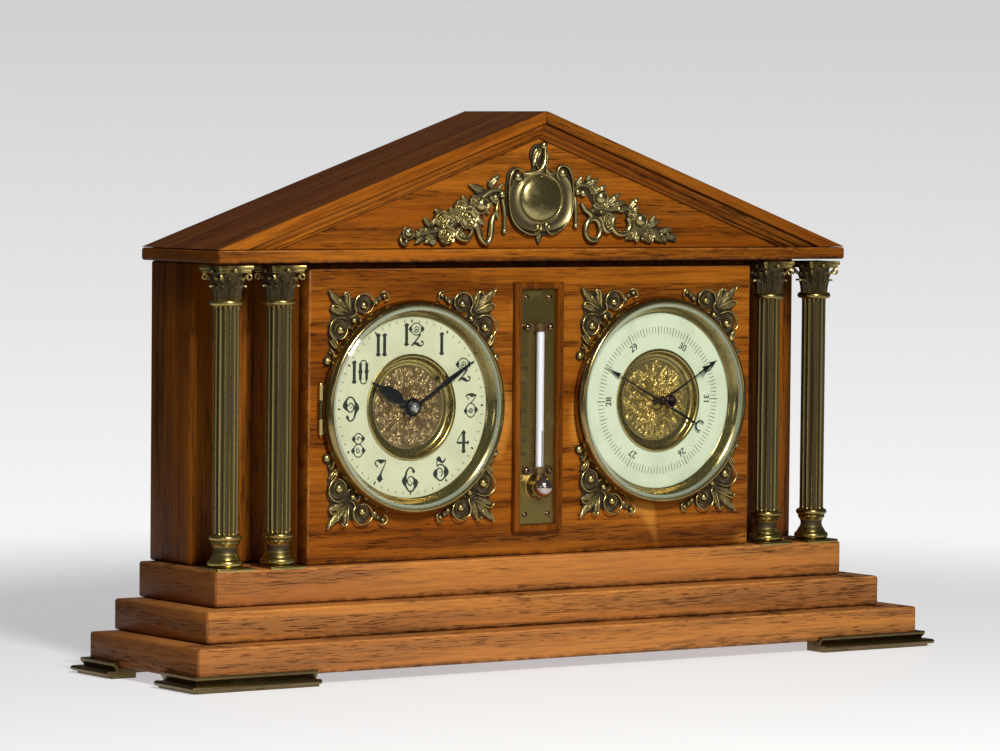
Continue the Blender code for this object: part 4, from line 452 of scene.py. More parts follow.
def turned(name, profile, steps=96, open_ends=False):
    """A turned piece round local Z: a circle is extruded and resized along (radius, height) in millimetres."""
    fresh()
    points = [(radius * MM, height * MM) for radius, height in profile]
    radius, height = points[0]
    bpy.ops.mesh.primitive_circle_add(vertices=steps, radius=radius)
    item = bpy.context.object
    item.name = name
    bpy.ops.object.mode_set(mode="EDIT")
    bpy.ops.transform.translate(value=(0, 0, height))
    if not open_ends:
        bpy.ops.mesh.edge_face_add()
        bpy.ops.mesh.select_mode(type="VERT")
    for (r0, h0), (r1, h1) in zip(points, points[1:]):
        bpy.ops.mesh.extrude_region_move(TRANSFORM_OT_translate={"value": (0, 0, h1 - h0)})
        bpy.ops.transform.resize(value=(r1 / r0, r1 / r0, 1), center_override=(0, 0, h1))
    bpy.ops.object.mode_set(mode="OBJECT")
    return sound(item)


def ring(name, profile, steps=128):
    """A turned ring whose profile meets itself."""
    return turned(name, [*profile, profile[0]], steps, open_ends=True)


def strands(name, strokes, sides=2, resolution=4, smooth=True):
    """Round strands in one mesh, each a list of points (x, y, z, radius) in millimetres."""
    fresh()
    curve = bpy.data.curves.new(name, "CURVE")
    curve.dimensions = "3D"
    curve.bevel_depth = MM
    curve.bevel_resolution = sides
    curve.resolution_u = resolution
    curve.use_fill_caps = True
    for points in strokes:
        spline = curve.splines.new("BEZIER")
        spline.bezier_points.add(len(points) - 1)
        for knot, (x, y, z, radius) in zip(spline.bezier_points, points):
            knot.co = (x * MM, y * MM, z * MM)
            knot.radius = radius
            knot.handle_left_type = knot.handle_right_type = "AUTO" if smooth else "VECTOR"
    return meshed(name, curve)


def plate(name, outline, thick, edge=0.0, resolution=6, inset=0.0):
    """A flat plate on local Z = 0 with a rounded edge. A point is (x, y) or (x, y, "sharp"), in millimetres."""
    fresh()
    curve = bpy.data.curves.new(name, "CURVE")
    curve.dimensions = "2D"
    curve.fill_mode = "BOTH"
    curve.resolution_u = resolution
    curve.extrude = (thick / 2 - edge) * MM
    curve.bevel_depth = edge * MM
    curve.bevel_resolution = 2
    curve.offset = -(edge + inset) * MM
    spline = curve.splines.new("BEZIER")
    spline.bezier_points.add(len(outline) - 1)
    spline.use_cyclic_u = True
    for knot, (x, y, *sharp) in zip(spline.bezier_points, outline):
        knot.co = (x * MM, y * MM, 0)
        knot.handle_left_type = knot.handle_right_type = "VECTOR" if sharp else "AUTO"
    item = meshed(name, curve)
    item.data.transform(Matrix.Translation((0, 0, thick / 2 * MM)))
    return sound(item)


def meshed(name, curve):
    """A curve turned into a mesh."""
    item = bpy.data.objects.new(name, curve)
    bpy.context.scene.collection.objects.link(item)
    active(item)
    bpy.ops.object.convert(target="MESH")
    return bpy.context.object


def copied(item, matrix=None):
    """A copy with its own mesh, which the matrix moves."""
    twin = item.copy()
    twin.data = item.data.copy()
    twin.parent = None
    twin.matrix_world = Matrix.Identity(4)
    bpy.context.scene.collection.objects.link(twin)
    if matrix:
        twin.data.transform(matrix)
    return twin


def stamped(pattern, *places):
    """Copies of a pattern, each (x, y, z, size, turn, width, height) in millimetres, degrees and shares."""
    copies = []
    for x, y, z, size, turn, width, height in places:
        place = Matrix.Translation((x * MM, y * MM, z * MM)) @ Matrix.Rotation(math.radians(turn), 4, "Z")
        copies.append(copied(pattern, place @ Matrix.Diagonal((size * width, size, size * height, 1))))
    return copies


def leaves(pattern, *marks):
    """Copies of the 10 mm leaf, each (root x, root y, tip x, tip y, width, z, height) in millimetres."""
    places = []
    for x0, y0, x1, y1, width, z, height in marks:
        length = math.hypot(x1 - x0, y1 - y0)
        turn = math.degrees(math.atan2(x0 - x1, y1 - y0))
        size = length / 10
        places.append((x0, y0, z, size, turn, width / 6 / size, height / 2.6 / size))
    return stamped(pattern, *places)


def studs(pattern, *marks):
    """Copies of the 1 mm ball, each (x, y, z, radius)."""
    return stamped(pattern, *((x, y, z, radius, 0, 1, 0.85) for x, y, z, radius in marks))


def arc(x, y, z, across, up, start, end, radius, steps=10, taper=0.0):
    """Points of a strand along part of an oval, from start to end in degrees."""
    points = []
    for step in range(steps + 1):
        share = step / steps
        turn = math.radians(start + (end - start) * share)
        thick = radius * (1 - taper * share)
        points.append((x + across * math.cos(turn), y + up * math.sin(turn), z, thick))
    return points


def merged(name, items):
    """Joins items into the first."""
    fresh()
    for item in items:
        item.select_set(True)
    bpy.context.view_layer.objects.active = items[0]
    bpy.ops.object.join()
    items[0].name = name
    return items[0]


def placed(item, across=0.0, up=0.0, forward=0.0):
    """Stands an item up on the front: its local X, Y and Z become across, up and forward."""
    active(item)
    item.matrix_world = Matrix.Translation((across, BACK - forward, up)) @ Matrix.Rotation(math.pi / 2, 4, "X")
    bpy.ops.object.transform_apply(location=True, rotation=True, scale=True)
    return item


def finished(item, look, body="case", stands_for=(), angle=40):
    """Smooths a piece, gives it its finish and lets it ride on its body."""
    active(item)
    bpy.ops.object.shade_smooth_by_angle(angle=math.radians(angle))
    item.data.materials.clear()
    item.data.materials.append(look)
    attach(item, body)
    if stands_for:
        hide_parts(*stands_for)
    return item


def dress(names, look):
    """Gives CAD nodes a finish."""
    for name in names:
        item = NODES[name]
        item.data.materials.clear()
        item.data.materials.append(look)


def block(place, size):
    """A cuboid round a place, both in millimetres."""
    fresh()
    place, size = [part * MM for part in place], [part * MM for part in size]
    bpy.ops.mesh.primitive_cube_add(size=1, location=place, scale=size)
    return bpy.context.object


def eased(node, look, width):
    """A copy of a CAD node with its arrises eased by a width in millimetres."""
    item = sound(copied(NODES[node]))
    item.name = node + "_eased"
    active(item)
    bpy.ops.object.mode_set(mode="EDIT")
    bpy.ops.mesh.select_all(action="SELECT")
    bpy.ops.mesh.dissolve_limited(angle_limit=math.radians(1))
    bpy.ops.object.mode_set(mode="OBJECT")
    changed(item, "BEVEL", width=width * MM, segments=3, limit_method="ANGLE", angle_limit=math.radians(35))
    return finished(item, look, stands_for=[node], angle=20)


# Patterns that repeat


def leaf_pattern():
    """A pressed leaf, 10 mm long and 6 mm wide: a sunk middle rib, side veins, a lobed edge and a curled tip."""
    fresh()
    bpy.ops.mesh.primitive_grid_add(x_subdivisions=10, y_subdivisions=18, size=2)
    item = bpy.context.object
    item.name = "leaf"
    for point in item.data.vertices:
        side, along = point.co.x, (point.co.y + 1) / 2
        swell = math.sin(math.pi * min(1, along * 0.94 + 0.03) ** 0.85) ** 0.75
        lobe = 1 - 0.16 * abs(math.sin(3.5 * math.pi * along))
        vein = math.cos(math.tau * (along * 4.2 - abs(side) * 0.9))
        crown = 1.5 * (1 - side * side) * math.sin(math.pi * along) ** 0.6
        rib = 0.9 * math.exp(-((side / 0.16) ** 2)) * (1 - along)
        x = side * 3 * max(swell, 0.05) * lobe
        z = 0.5 + crown + 1.0 * along**3 - rib + 0.22 * vein * (1 - side * side) * abs(side) ** 0.5
        point.co = (x * MM, 10 * along * MM, z * MM)
    return changed(item, "SOLIDIFY", thickness=0.5 * MM, offset=-1)


def rose_pattern():
    """An open rose, 10 mm across: a bud in two rings of petals, as one turned disc whose points are raised one by
    one.
    """
    rings = [(5.0 - 4.85 * step / 16, 1.0) for step in range(1, 17)]
    item = turned("rose", [(4.9, 0), (5.0, 0.6), *rings], 56)
    for point in item.data.vertices:
        x, y, z = point.co / MM
        if z < 0.5:
            continue
        reach, turn = math.hypot(x, y), math.atan2(y, x)
        outer = 4.25 + 0.55 * abs(math.cos(2.5 * turn))
        inner = 2.55 + 0.40 * abs(math.cos(2 * turn + 0.7))
        dome = 1.5 * math.sqrt(max(0, 1 - (reach / 5.2) ** 2))
        lip = 0.95 * math.exp(-(((reach - outer) / 0.60) ** 2))
        lip += 1.15 * math.exp(-(((reach - inner) / 0.50) ** 2))
        bud = 1.7 * math.sqrt(max(0, 1 - (reach / 1.5) ** 2))
        ripple = 0.12 * math.cos(5 * turn) * (reach / 5)
        stretch = outer / 4.8 if reach > 3.6 else 1
        point.co = (x * stretch * MM, y * stretch * MM, (0.7 + dome + max(lip, bud) + ripple) * MM)
    return item


def ball_pattern():
    """A ball of 1 mm radius, cut flat below."""
    fresh()
    bpy.ops.mesh.primitive_uv_sphere_add(segments=16, ring_count=10, radius=MM)
    item = bpy.context.object
    item.name = "ball"
    bpy.ops.object.mode_set(mode="EDIT")
    bpy.ops.mesh.select_all(action="SELECT")
    bpy.ops.mesh.bisect(plane_co=(0, 0, -0.6 * MM), plane_no=(0, 0, 1), use_fill=True, clear_inner=True)
    bpy.ops.object.mode_set(mode="OBJECT")
    return item


def dish_pattern():
    """A shallow dish, 10 mm across, with fine ribs that run out from its middle."""
    profile = [(4.9, 0), (5.0, 0.7), (4.8, 1.5), (4.3, 1.6), (3.7, 1.4), (3.0, 1.2)]
    item = turned("dish", [*profile, (2.2, 1.1), (1.2, 1.1), (0.3, 1.1)], 96)
    for point in item.data.vertices:
        x, y, z = point.co / MM
        reach = math.hypot(x, y)
        if z > 1 and 1.5 < reach < 4.6:
            point.co.z += 0.30 * math.cos(24 * math.atan2(y, x)) * (reach - 1.2) / 3.4 * MM
    return item


def screw_pattern():
    """A round headed screw, 2 mm across, with its slot cut."""
    item = turned("screw", [(1.0, 0), *round_over(0, 0.25, 1, 0.55, 0, 86, 12), (0.05, 0.8)], 40)
    cutter = block((0, 0, 0.85), (0.28, 2.4, 0.7))
    changed(item, "BOOLEAN", operation="DIFFERENCE", object=cutter, solver="EXACT")
    bpy.data.objects.remove(cutter)
    return item


# Corner mounts

CORNER_RIMS = [
    [(14.6, -16.2, 1.4, 0.3), (18.7, -12.9, 2.4, 0.45), (17.4, -9.1, 2.8, 0.5), (19.6, -4.2, 3, 0.5),
     (23.8, -2.7, 3.1, 0.5), (28.4, -4.6, 3.1, 0.48), (29.9, -7.9, 3, 0.45), (28.2, -11.6, 2.7, 0.42),
     (25.1, -13.3, 2.2, 0.32), (22.2, -12.8, 1.6, 0.22)],
    [(13.8, -16.9, 1.4, 0.3), (8.5, -15.2, 2.6, 0.45), (3.8, -16.7, 3, 0.5), (1.4, -20.6, 3.1, 0.5),
     (2.6, -24.8, 3, 0.5), (5.6, -27.6, 2.8, 0.45), (7.2, -30.8, 2, 0.35)],
    [(13.4, -20.2, 1.6, 0.25), (12.9, -23.2, 2.2, 0.4), (10.6, -26.2, 2.2, 0.38), (8.2, -27.2, 1.6, 0.25)],
    [(2, -27.2, 1.6, 0.55), (3.6, -29.8, 2.2, 0.6), (6.6, -32.2, 2, 0.45)],
    [(3.4, -26.8, 1.8, 0.45), (5.4, -29.8, 2.3, 0.5), (7.3, -31.6, 2, 0.35)],
    [(2.6, -32, 1.4, 0.5), (4.3, -34, 2.2, 0.55), (4.5, -36.8, 2.4, 0.5), (3.4, -39, 2, 0.35)],
    [(35.2, -2.9, 1.6, 0.4), (37.6, -2, 2.2, 0.5), (39.6, -3.6, 2.4, 0.5), (39.8, -6, 2.2, 0.5),
     (38, -7, 1.8, 0.35)],
    [(19.4, -14.6, 1.2, 0.35), (21.6, -15.6, 1.8, 0.5), (21.4, -18.2, 1.8, 0.45), (19.6, -19.6, 1.2, 0.3)],
    [(18, -20.2, 1.2, 0.35), (16.6, -21.4, 1.8, 0.45), (14.6, -20.6, 1.8, 0.45), (14.2, -18.8, 1.2, 0.3)],
    [(15.6, -12.8, 1.2, 0.5), (14.4, -9, 2.2, 0.6), (13.9, -5.4, 2.8, 0.6), (12.9, -2.6, 3, 0.55),
     (11.2, -2.4, 2.8, 0.5), (10.3, -3.8, 2.4, 0.45)],
    [(15, -13.2, 1.2, 0.5), (10.2, -11.2, 2.2, 0.6), (6.2, -9.2, 2.8, 0.6), (3.6, -9, 3, 0.55),
     (2.2, -10.6, 2.8, 0.55)],
    [(13.6, -12.4, 1.2, 0.4), (10.4, -8.8, 2, 0.45), (8.9, -7.4, 2.2, 0.4)],
    [(1.2, -0.9, 2.2, 0.5), (2.4, -2.6, 2.4, 0.55), (3.2, -5.4, 2, 0.4)],
]
CORNER_BALLS = [
    (23.8, -9.2, 1.6, 2.2), (8.7, -22, 1.6, 2.6), (17.8, -17.1, 1.6, 1.7), (8.5, -6.6, 1.6, 1.2),
    (32.2, -8, 1.2, 1.5), (34.4, -5.8, 1.2, 1.2), (37.4, -4.4, 1.6, 1.2), (2.4, -33.9, 1.2, 1),
    (0.9, -38.2, 1, 2.4),
]
CORNER_OUTLINE = [
    (0.3, -0.3, "sharp"), (4.2, -1), (8.6, -2.4), (11.8, -0.9), (15.2, -3.4), (18.2, -3.2), (23.8, -1.7),
    (29.2, -3.2), (31.6, -5.6), (34.6, -2.8), (38.2, -0.9), (40.8, -4.2), (38.8, -8.2), (34.8, -7.8),
    (31.2, -10.4),
    (28.8, -13.2), (24.6, -14.6), (21.8, -14.4), (22.6, -18), (19.4, -20.4), (15.4, -22.4), (13.2, -25),
    (9.4, -28), (8.2, -31.2), (6.2, -33.2), (5.4, -37.6), (3.2, -40.2), (-0.4, -40.6), (-1.2, -37.4),
    (0.8, -33), (1.2, -28.8), (0.6, -24), (0.2, -18.6), (2.2, -15), (0.8, -11.2), (2.2, -7.6), (0.9, -3.8),
]
CORNER_RING = arc(23.8, -9.2, 1.9, 3.1, 3.1, 250, 480, 0.22)


def corner_pattern(leaf, ball, dish):
    """The pierced scroll and leaf mount of a panel corner, drawn from its outer corner, right and down."""
    parts = [
        strands("corner", CORNER_RIMS, sides=2, resolution=5),
        strands("rings", [arc(8.7, -22, 1.9, 3.4, 3.4, 60, 300, 0.24), CORNER_RING]),
        plate("corner_ground", CORNER_OUTLINE, 0.5, 0.2, resolution=3, inset=1.7),
        *studs(ball, *CORNER_BALLS),
        *stamped(dish, (23.7, -8.4, 0.1, 1.04, 0, 1, 0.8), (8.2, -21.6, 0.1, 1.12, 20, 1, 0.8)),
        *leaves(
            leaf,
            (14.6, -13.4, 2.2, -10.8, 6.6, 0.3, 2.6),
            (14.6, -13.0, 1.6, -1.8, 6.8, 0.5, 2.4),
            (15.4, -12.6, 12.6, -2.4, 6.2, 0.3, 2.6),
            (35.4, -6.6, 31.0, -6.4, 3.4, 0.8, 1.4),
            (12.4, -17.6, 16.8, -21.6, 3.0, 0.6, 1.2),
            (18.6, -13.8, 22.6, -18.4, 3.0, 0.6, 1.2),
        ),
    ]
    return merged("corner_mount", parts)


def corner_mounts(leaf, ball, dish, look):
    """Eight mounts from one casting, mirrored into the corners round both dials."""
    pattern = corner_pattern(leaf, ball, dish)
    dials = (("clock", CLOCK), ("barometer", BAROMETER))
    heights, sides = (("top", 1), ("bottom", -1)), (("left", -1), ("right", 1))
    for (dial, (across, up)), (height, rise), (side, way) in itertools.product(dials, heights, sides):
        name = f"{dial}_spandrel_{height}_{side}"
        item = sound(copied(pattern, Matrix.Diagonal((-way * 0.96, rise * 0.99, 1, 1))))
        item.name = name + "_mount"
        place = (across + way * MOUNT_ACROSS * MM, up + rise * MOUNT_UP * MM, SEAT)
        finished(placed(item, *place), look, stands_for=[name], angle=50)
    bpy.data.objects.remove(pattern)


# Pediment mounts

SHIELD_RIMS = [
    [(-14.2, 256.8, 2.2, 0.35), (-11.6, 258.8, 2.8, 0.5), (-11.6, 262.6, 3.3, 0.55), (-14.6, 265, 3.5, 0.6),
     (-18.2, 264.2, 3.5, 0.6), (-20.4, 260.6, 3.4, 0.6), (-21, 254, 3.3, 0.6), (-20.9, 246.4, 3.3, 0.6),
     (-19.4, 239.6, 3.3, 0.6), (-15.6, 234.4, 3.3, 0.6), (-10.4, 231.2, 3.3, 0.6), (-5.4, 229.9, 3.3, 0.6),
     (-1.7, 231, 3.2, 0.55), (0.2, 233.6, 3, 0.5), (-1, 236.3, 2.8, 0.45), (-3.4, 236.2, 2.4, 0.35)],
    [(12.6, 258.8, 2.2, 0.35), (10.6, 261.2, 2.8, 0.5), (10.9, 264.8, 3.3, 0.55), (13.8, 266.8, 3.5, 0.6),
     (17.4, 265.6, 3.5, 0.6), (20, 261.4, 3.4, 0.6), (21, 254.4, 3.3, 0.6), (20.9, 246.6, 3.3, 0.6),
     (19.4, 240, 3.3, 0.6), (15.8, 234.8, 3.3, 0.6), (11.2, 231.6, 3.3, 0.6), (7.2, 230.4, 3.3, 0.6),
     (4.4, 231.6, 3.2, 0.55), (3.2, 234.2, 3, 0.5), (4.6, 236.4, 2.8, 0.45), (6.4, 236, 2.4, 0.35)],
    [(-10.6, 262, 1.6, 0.9), (-5.6, 262.6, 2.6, 1.3), (-1.4, 264, 3.2, 1.5), (1.2, 267.2, 3.4, 1.4),
     (2.2, 271.6, 3.2, 1.2), (2.2, 276, 3, 0.9)],
    [(10, 262.2, 1.6, 0.7), (6.4, 262.4, 2.4, 1), (3.8, 264.2, 2.8, 1), (3.4, 268.4, 3, 0.8),
     (3.9, 272.6, 2.8, 0.7), (3.2, 276.2, 2.8, 0.6)],
    [(-0.4, 275.4, 2.6, 0.5), (-2.6, 276, 3.2, 0.6), (-4.8, 273.8, 3.2, 0.5), (-5.6, 270.4, 2.8, 0.4)],
    [(0, 263.6, 1.8, 0.5), (-2.4, 266.2, 2.4, 0.5), (-3.6, 268.8, 2.4, 0.35)],
]
SHIELD_OUTLINE = [
    (-12, 262.4), (-14.6, 265.8), (-19, 264.8), (-21.4, 259.6), (-21.6, 249), (-19.8, 239.2), (-15, 233.2),
    (-6, 229.2), (-1.8, 228.4), (-0.2, 225, "sharp"), (1.6, 228.6), (6.8, 229.6), (15.2, 233.6), (19.8, 239.6),
    (21.6, 249), (21.4, 259.8), (18.6, 265.8), (14, 267.4), (10.6, 264), (6, 263.4), (4.8, 267),
    (4.8, 274), (3.8, 277.8), (0.4, 278.6), (-4.2, 277.2), (-6.4, 272), (-4.6, 266), (-6, 263.6),
]
SHIELD_BALLS = [
    (-15, 260.7, 2.4, 2.6), (14.2, 262.8, 2.4, 2.5), (-1.9, 233.8, 2.4, 1.5), (5.6, 233.8, 2.4, 1.4),
    (1.6, 277.6, 2.6, 2.25),
]


def shield_band():
    """The broad strap round the boss, hollow between its two edges, stretched from a turned ring."""
    hollow = [(13.2, 2.6), (14.0, 2.8), (14.8, 2.4), (16.2, 1.7), (17.8, 1.6), (19.4, 2.1), (20.6, 2.9)]
    item = ring("band", [*hollow, (20.8, 1.0), (13.2, 1.0)], 120)
    for point in item.data.vertices:
        x, y, _ = point.co / MM
        reach, turn = math.hypot(x, y), math.atan2(y, x)
        share = (reach - 13.2) / 7.6
        tall = 12.4 + share * (15.2 if y > 0 else 17.8) - share * 12.4
        wide = 13.2 + share * 7.6
        square = (abs(math.cos(turn)) ** 2.6 + abs(math.sin(turn)) ** 2.6) ** (-1 / 2.6)
        stretch = 1 + share * (square - 1)
        point.co.x = wide * math.cos(turn) * stretch * MM
        point.co.y = (BOSS_UP + tall * math.sin(turn) * stretch) * MM
    return item


def shield(leaf, ball, look):
    """The pediment mount: an oval boss in a scrolled strap, with its stem and finial above."""
    turns = [math.radians(degrees) for degrees in range(0, 90, 6)]
    dome = [(13.0 * math.cos(turn), 1.4 + 3.9 * math.sin(turn) ** 0.8) for turn in turns]
    boss = turned("boss", [(13.0, 0.6), *dome, (0.3, 5.35)], 96)
    boss.data.transform(Matrix.Translation((0, BOSS_UP * MM, 0)) @ Matrix.Diagonal((1, 0.955, 1, 1)))
    dots = []
    for step in range(17):
        turn = math.radians(-62 + step * 7)
        reach, up = 17.6 * math.cos(turn) ** 0.8, BOSS_UP + 16.4 * math.sin(turn)
        dots += [(reach, up, 1.5, 0.42), (-reach, up, 1.5, 0.42)]
    parts = [
        strands("shield", SHIELD_RIMS, sides=3, resolution=6),
        strands("boss_rim", [arc(0, BOSS_UP, 2.5, 14.1, 13.4, 0, 360, 0.42, 48)]),
        plate("shield_ground", SHIELD_OUTLINE, 1.2, 0.3, resolution=4),
        shield_band(),
        boss,
        *studs(ball, *dots, *SHIELD_BALLS),
        *leaves(leaf, (0.6, 276.4, -5.0, 266.4, 5.2, 1.0, 2.4), (-0.2, 231.6, -0.3, 224.9, 4.4, 0.8, 1.6)),
    ]
    item = placed(merged("pediment_cartouche_mount", parts), 0, 0, SEAT)
    return finished(item, look, stands_for=["pediment_cartouche"], angle=50)


def bud(x, y, reach, lean=0):
    """Strands of the cup of petals round a bud."""
    petals = []
    for start, end, spread, thick in ((195, 350, 1.14, 0.20), (150, 215, 1.10, 0.16), (330, 400, 1.12, 0.16)):
        wide = reach * spread
        petals.append(arc(x, y, 1.8, wide, wide * 0.95, start + lean, end + lean, reach * thick, 8, 0.5))
    middle = (x + 0.2 * reach, y + 0.1 * reach, 1.6 + reach * 0.55)
    petals.append(arc(*middle, reach * 0.5, reach * 0.62, 40, 260, 0.3, 8, 0.4))
    return petals


LEFT_MASS = [
    (-24, 251.6, 0.6, 1.4), (-31, 252.4, 0.6, 2.6), (-38, 247.6, 0.6, 4.4), (-45, 241.6, 0.6, 5.6),
    (-53, 239, 0.6, 4.6), (-60, 234.6, 0.6, 5.4), (-66, 231.4, 0.6, 3.4), (-74, 230.6, 0.6, 2.2),
    (-80, 229.4, 0.6, 1.6), (-86, 229.4, 0.6, 2.6),
]
LEFT_STEMS = [
    [(-22.4, 252, 1, 0.9), (-29, 253.6, 1.4, 1.1), (-36, 250.4, 1.2, 1.2), (-43, 244.2, 0.9, 1.2),
     (-52, 237.6, 0.9, 1.2), (-62, 233.2, 0.9, 1.2), (-72, 231, 1, 1.1), (-82, 229.2, 1, 0.9)],
    [(-42, 238, 1.2, 1.8), (-40, 232, 1.8, 1.9), (-38.2, 227.4, 2, 1.7), (-35.2, 225.2, 1.9, 1.6),
     (-32.8, 227.4, 2, 1.6), (-31.8, 232.6, 1.8, 1.8), (-30.8, 238.6, 1.6, 1.5), (-27.8, 242.6, 1.2, 1.1)],
    [(-27, 247.6, 1.2, 0.9), (-28.4, 242.6, 1.8, 1.3), (-27.4, 238.6, 1.6, 0.9)],
    [(-24.4, 248.6, 1.2, 1.2), (-23.4, 243, 1.8, 1.2), (-23, 237, 1.8, 1.1), (-22.9, 232.6, 1.6, 1.1)],
    [(-56, 231.2, 1.2, 0.9), (-52.8, 228.2, 2, 1.5), (-48.8, 227.2, 2.1, 1.7), (-45.4, 229, 2, 1.4),
     (-43.8, 232.4, 1.4, 0.9)],
    [(-88.8, 229.6, 1, 0.7), (-89.6, 226.8, 1.6, 1), (-87.4, 224.8, 1.8, 1.1), (-84.8, 225.6, 1.6, 0.9)],
    *bud(-38.2, 245.9, 4.3), *bud(-84.6, 231, 3.1, -30),
]
LEFT_LEAVES = [
    (-33.4, 255.2, -26.6, 261.6, 5.2, 0.9, 2.6), (-35.6, 252.8, -45.6, 256, 5, 0.8, 2.4),
    (-30, 253.4, -33.6, 258.8, 3.6, 0.8, 2), (-28.6, 252.4, -24, 257.6, 3, 0.8, 1.8),
    (-40.2, 251, -41.4, 255.6, 3, 0.8, 1.8), (-44, 243.4, -44.8, 249, 3.6, 0.8, 2),
    (-70, 233.6, -75.2, 239, 3.8, 0.8, 2.2), (-68.8, 231.4, -78.2, 233, 3.8, 0.8, 2.2),
    (-67, 229.8, -74.4, 225.6, 4.4, 0.8, 2.2), (-66.4, 227.8, -69.6, 224.2, 3.4, 0.8, 1.8),
    (-41.2, 238.6, -35.8, 235.2, 4.2, 1.2, 2.2), (-52, 231.8, -47, 225.6, 5, 1.2, 2.2),
    (-54.4, 240.4, -58.6, 244.4, 4.4, 1, 2), (-80.2, 228.2, -76, 232.2, 4, 0.8, 1.8),
    (-50.2, 233.6, -55.4, 228.8, 4.6, 1.2, 2.2), (-47.6, 246.4, -50.8, 250.6, 4.2, 1, 2.2),
    (-36.2, 243.2, -31.4, 246.8, 4.2, 1, 2.2), (-63.8, 241.6, -68.4, 243.2, 3.8, 1, 2),
    (-56.8, 233, -61.8, 225, 4.6, 0.9, 2.2), (-74, 229, -80.4, 225.2, 4, 0.8, 1.8),
    (-32.8, 250.6, -28.2, 246.4, 3.8, 1, 2), (-70.4, 234.6, -66.4, 239.2, 3.8, 1, 2),
]
LEFT_ROSES = [
    (-46.6, 239, 1, 1.34, 15, 1, 0.72), (-51.6, 244.2, 1, 0.86, 40, 1, 0.9),
    (-54.6, 239.2, 1.1, 0.66, 0, 1, 0.9), (-63.8, 238.2, 1, 0.96, 0, 1, 0.9),
    (-58.6, 239.4, 0.9, 0.7, 70, 1, 0.9), (-60.6, 229.9, 0.9, 1.12, 30, 1, 0.85),
    (-42.4, 247.8, 0.9, 0.66, 30, 1, 0.9), (-71.6, 227.6, 0.9, 0.56, 10, 1, 0.9),
]
LEFT_BERRIES = [
    (-29, 249.6, 1.6, 2.1), (-24.7, 251.3, 1.6, 2.1), (-22.9, 231.6, 1.4, 1.7), (-38.2, 246.1, 1.4, 3.9),
    (-84.6, 231.2, 1.2, 2.9), (-67.6, 233, 1.8, 1), (-73.8, 232.6, 1.8, 1.1), (-79.4, 231.4, 1.6, 0.9),
    (-45.8, 256.3, 2.2, 0.8), (-42, 234.6, 1.6, 0.9), (-57, 234.8, 1.8, 1), (-86, 226.4, 1.6, 1.2),
    (-33.6, 241.4, 1.4, 1.1), (-36.6, 239.6, 1.4, 0.8),
]
RIGHT_MASS = [
    (24, 254.4, 0.6, 1.8), (31, 255.4, 0.6, 2.4), (38, 250, 0.6, 4.2), (44, 242.6, 0.6, 5),
    (51, 244.6, 0.6, 3), (58.4, 243.4, 0.6, 2.4), (64, 238.4, 0.6, 4.4), (68.6, 232, 0.6, 5.4),
    (77, 231, 0.6, 3.6), (85, 229.6, 0.6, 2.8), (90.6, 227.6, 0.6, 1.6),
]
RIGHT_STEMS = [
    [(22.4, 254, 1, 0.9), (30, 256.4, 1.2, 1.1), (37, 251.8, 1, 1.2), (44, 243.8, 0.9, 1.3),
     (52, 243.6, 1.4, 1.3), (60, 243.2, 1.4, 1.2), (66, 237, 0.9, 1.2), (74, 231.4, 1, 1.2),
     (84, 228.2, 1.1, 1.1), (91.6, 226, 1, 0.8)],
    [(27.4, 246.6, 1.2, 1.1), (29.8, 243.4, 1.8, 1.5), (33.4, 240.8, 1.8, 1.7), (34.4, 238.4, 1.8, 1.4)],
    arc(35.2, 232.4, 1.9, 4.9, 6, 110, 470, 1.6, 18),
    arc(54, 235.4, 1.9, 6, 5.6, 150, 400, 1.8, 14),
    [(23.1, 250, 1.2, 1.2), (23.4, 245, 1.8, 1.2), (23.7, 239.6, 1.8, 1.1), (23.9, 235.2, 1.6, 1.1)],
    [(39.6, 239.4, 1.8, 1.1), (41.8, 235.4, 2.1, 1.7), (44, 231.6, 2.1, 1.8), (47, 232, 2, 1.3)],
    [(50.4, 244.6, 1.6, 1), (54.4, 242.6, 1.8, 1.2), (57.4, 243.8, 1.6, 1)],
    *bud(40.2, 249.6, 4.2, 20), *bud(66.8, 237.2, 4.2, 10),
]
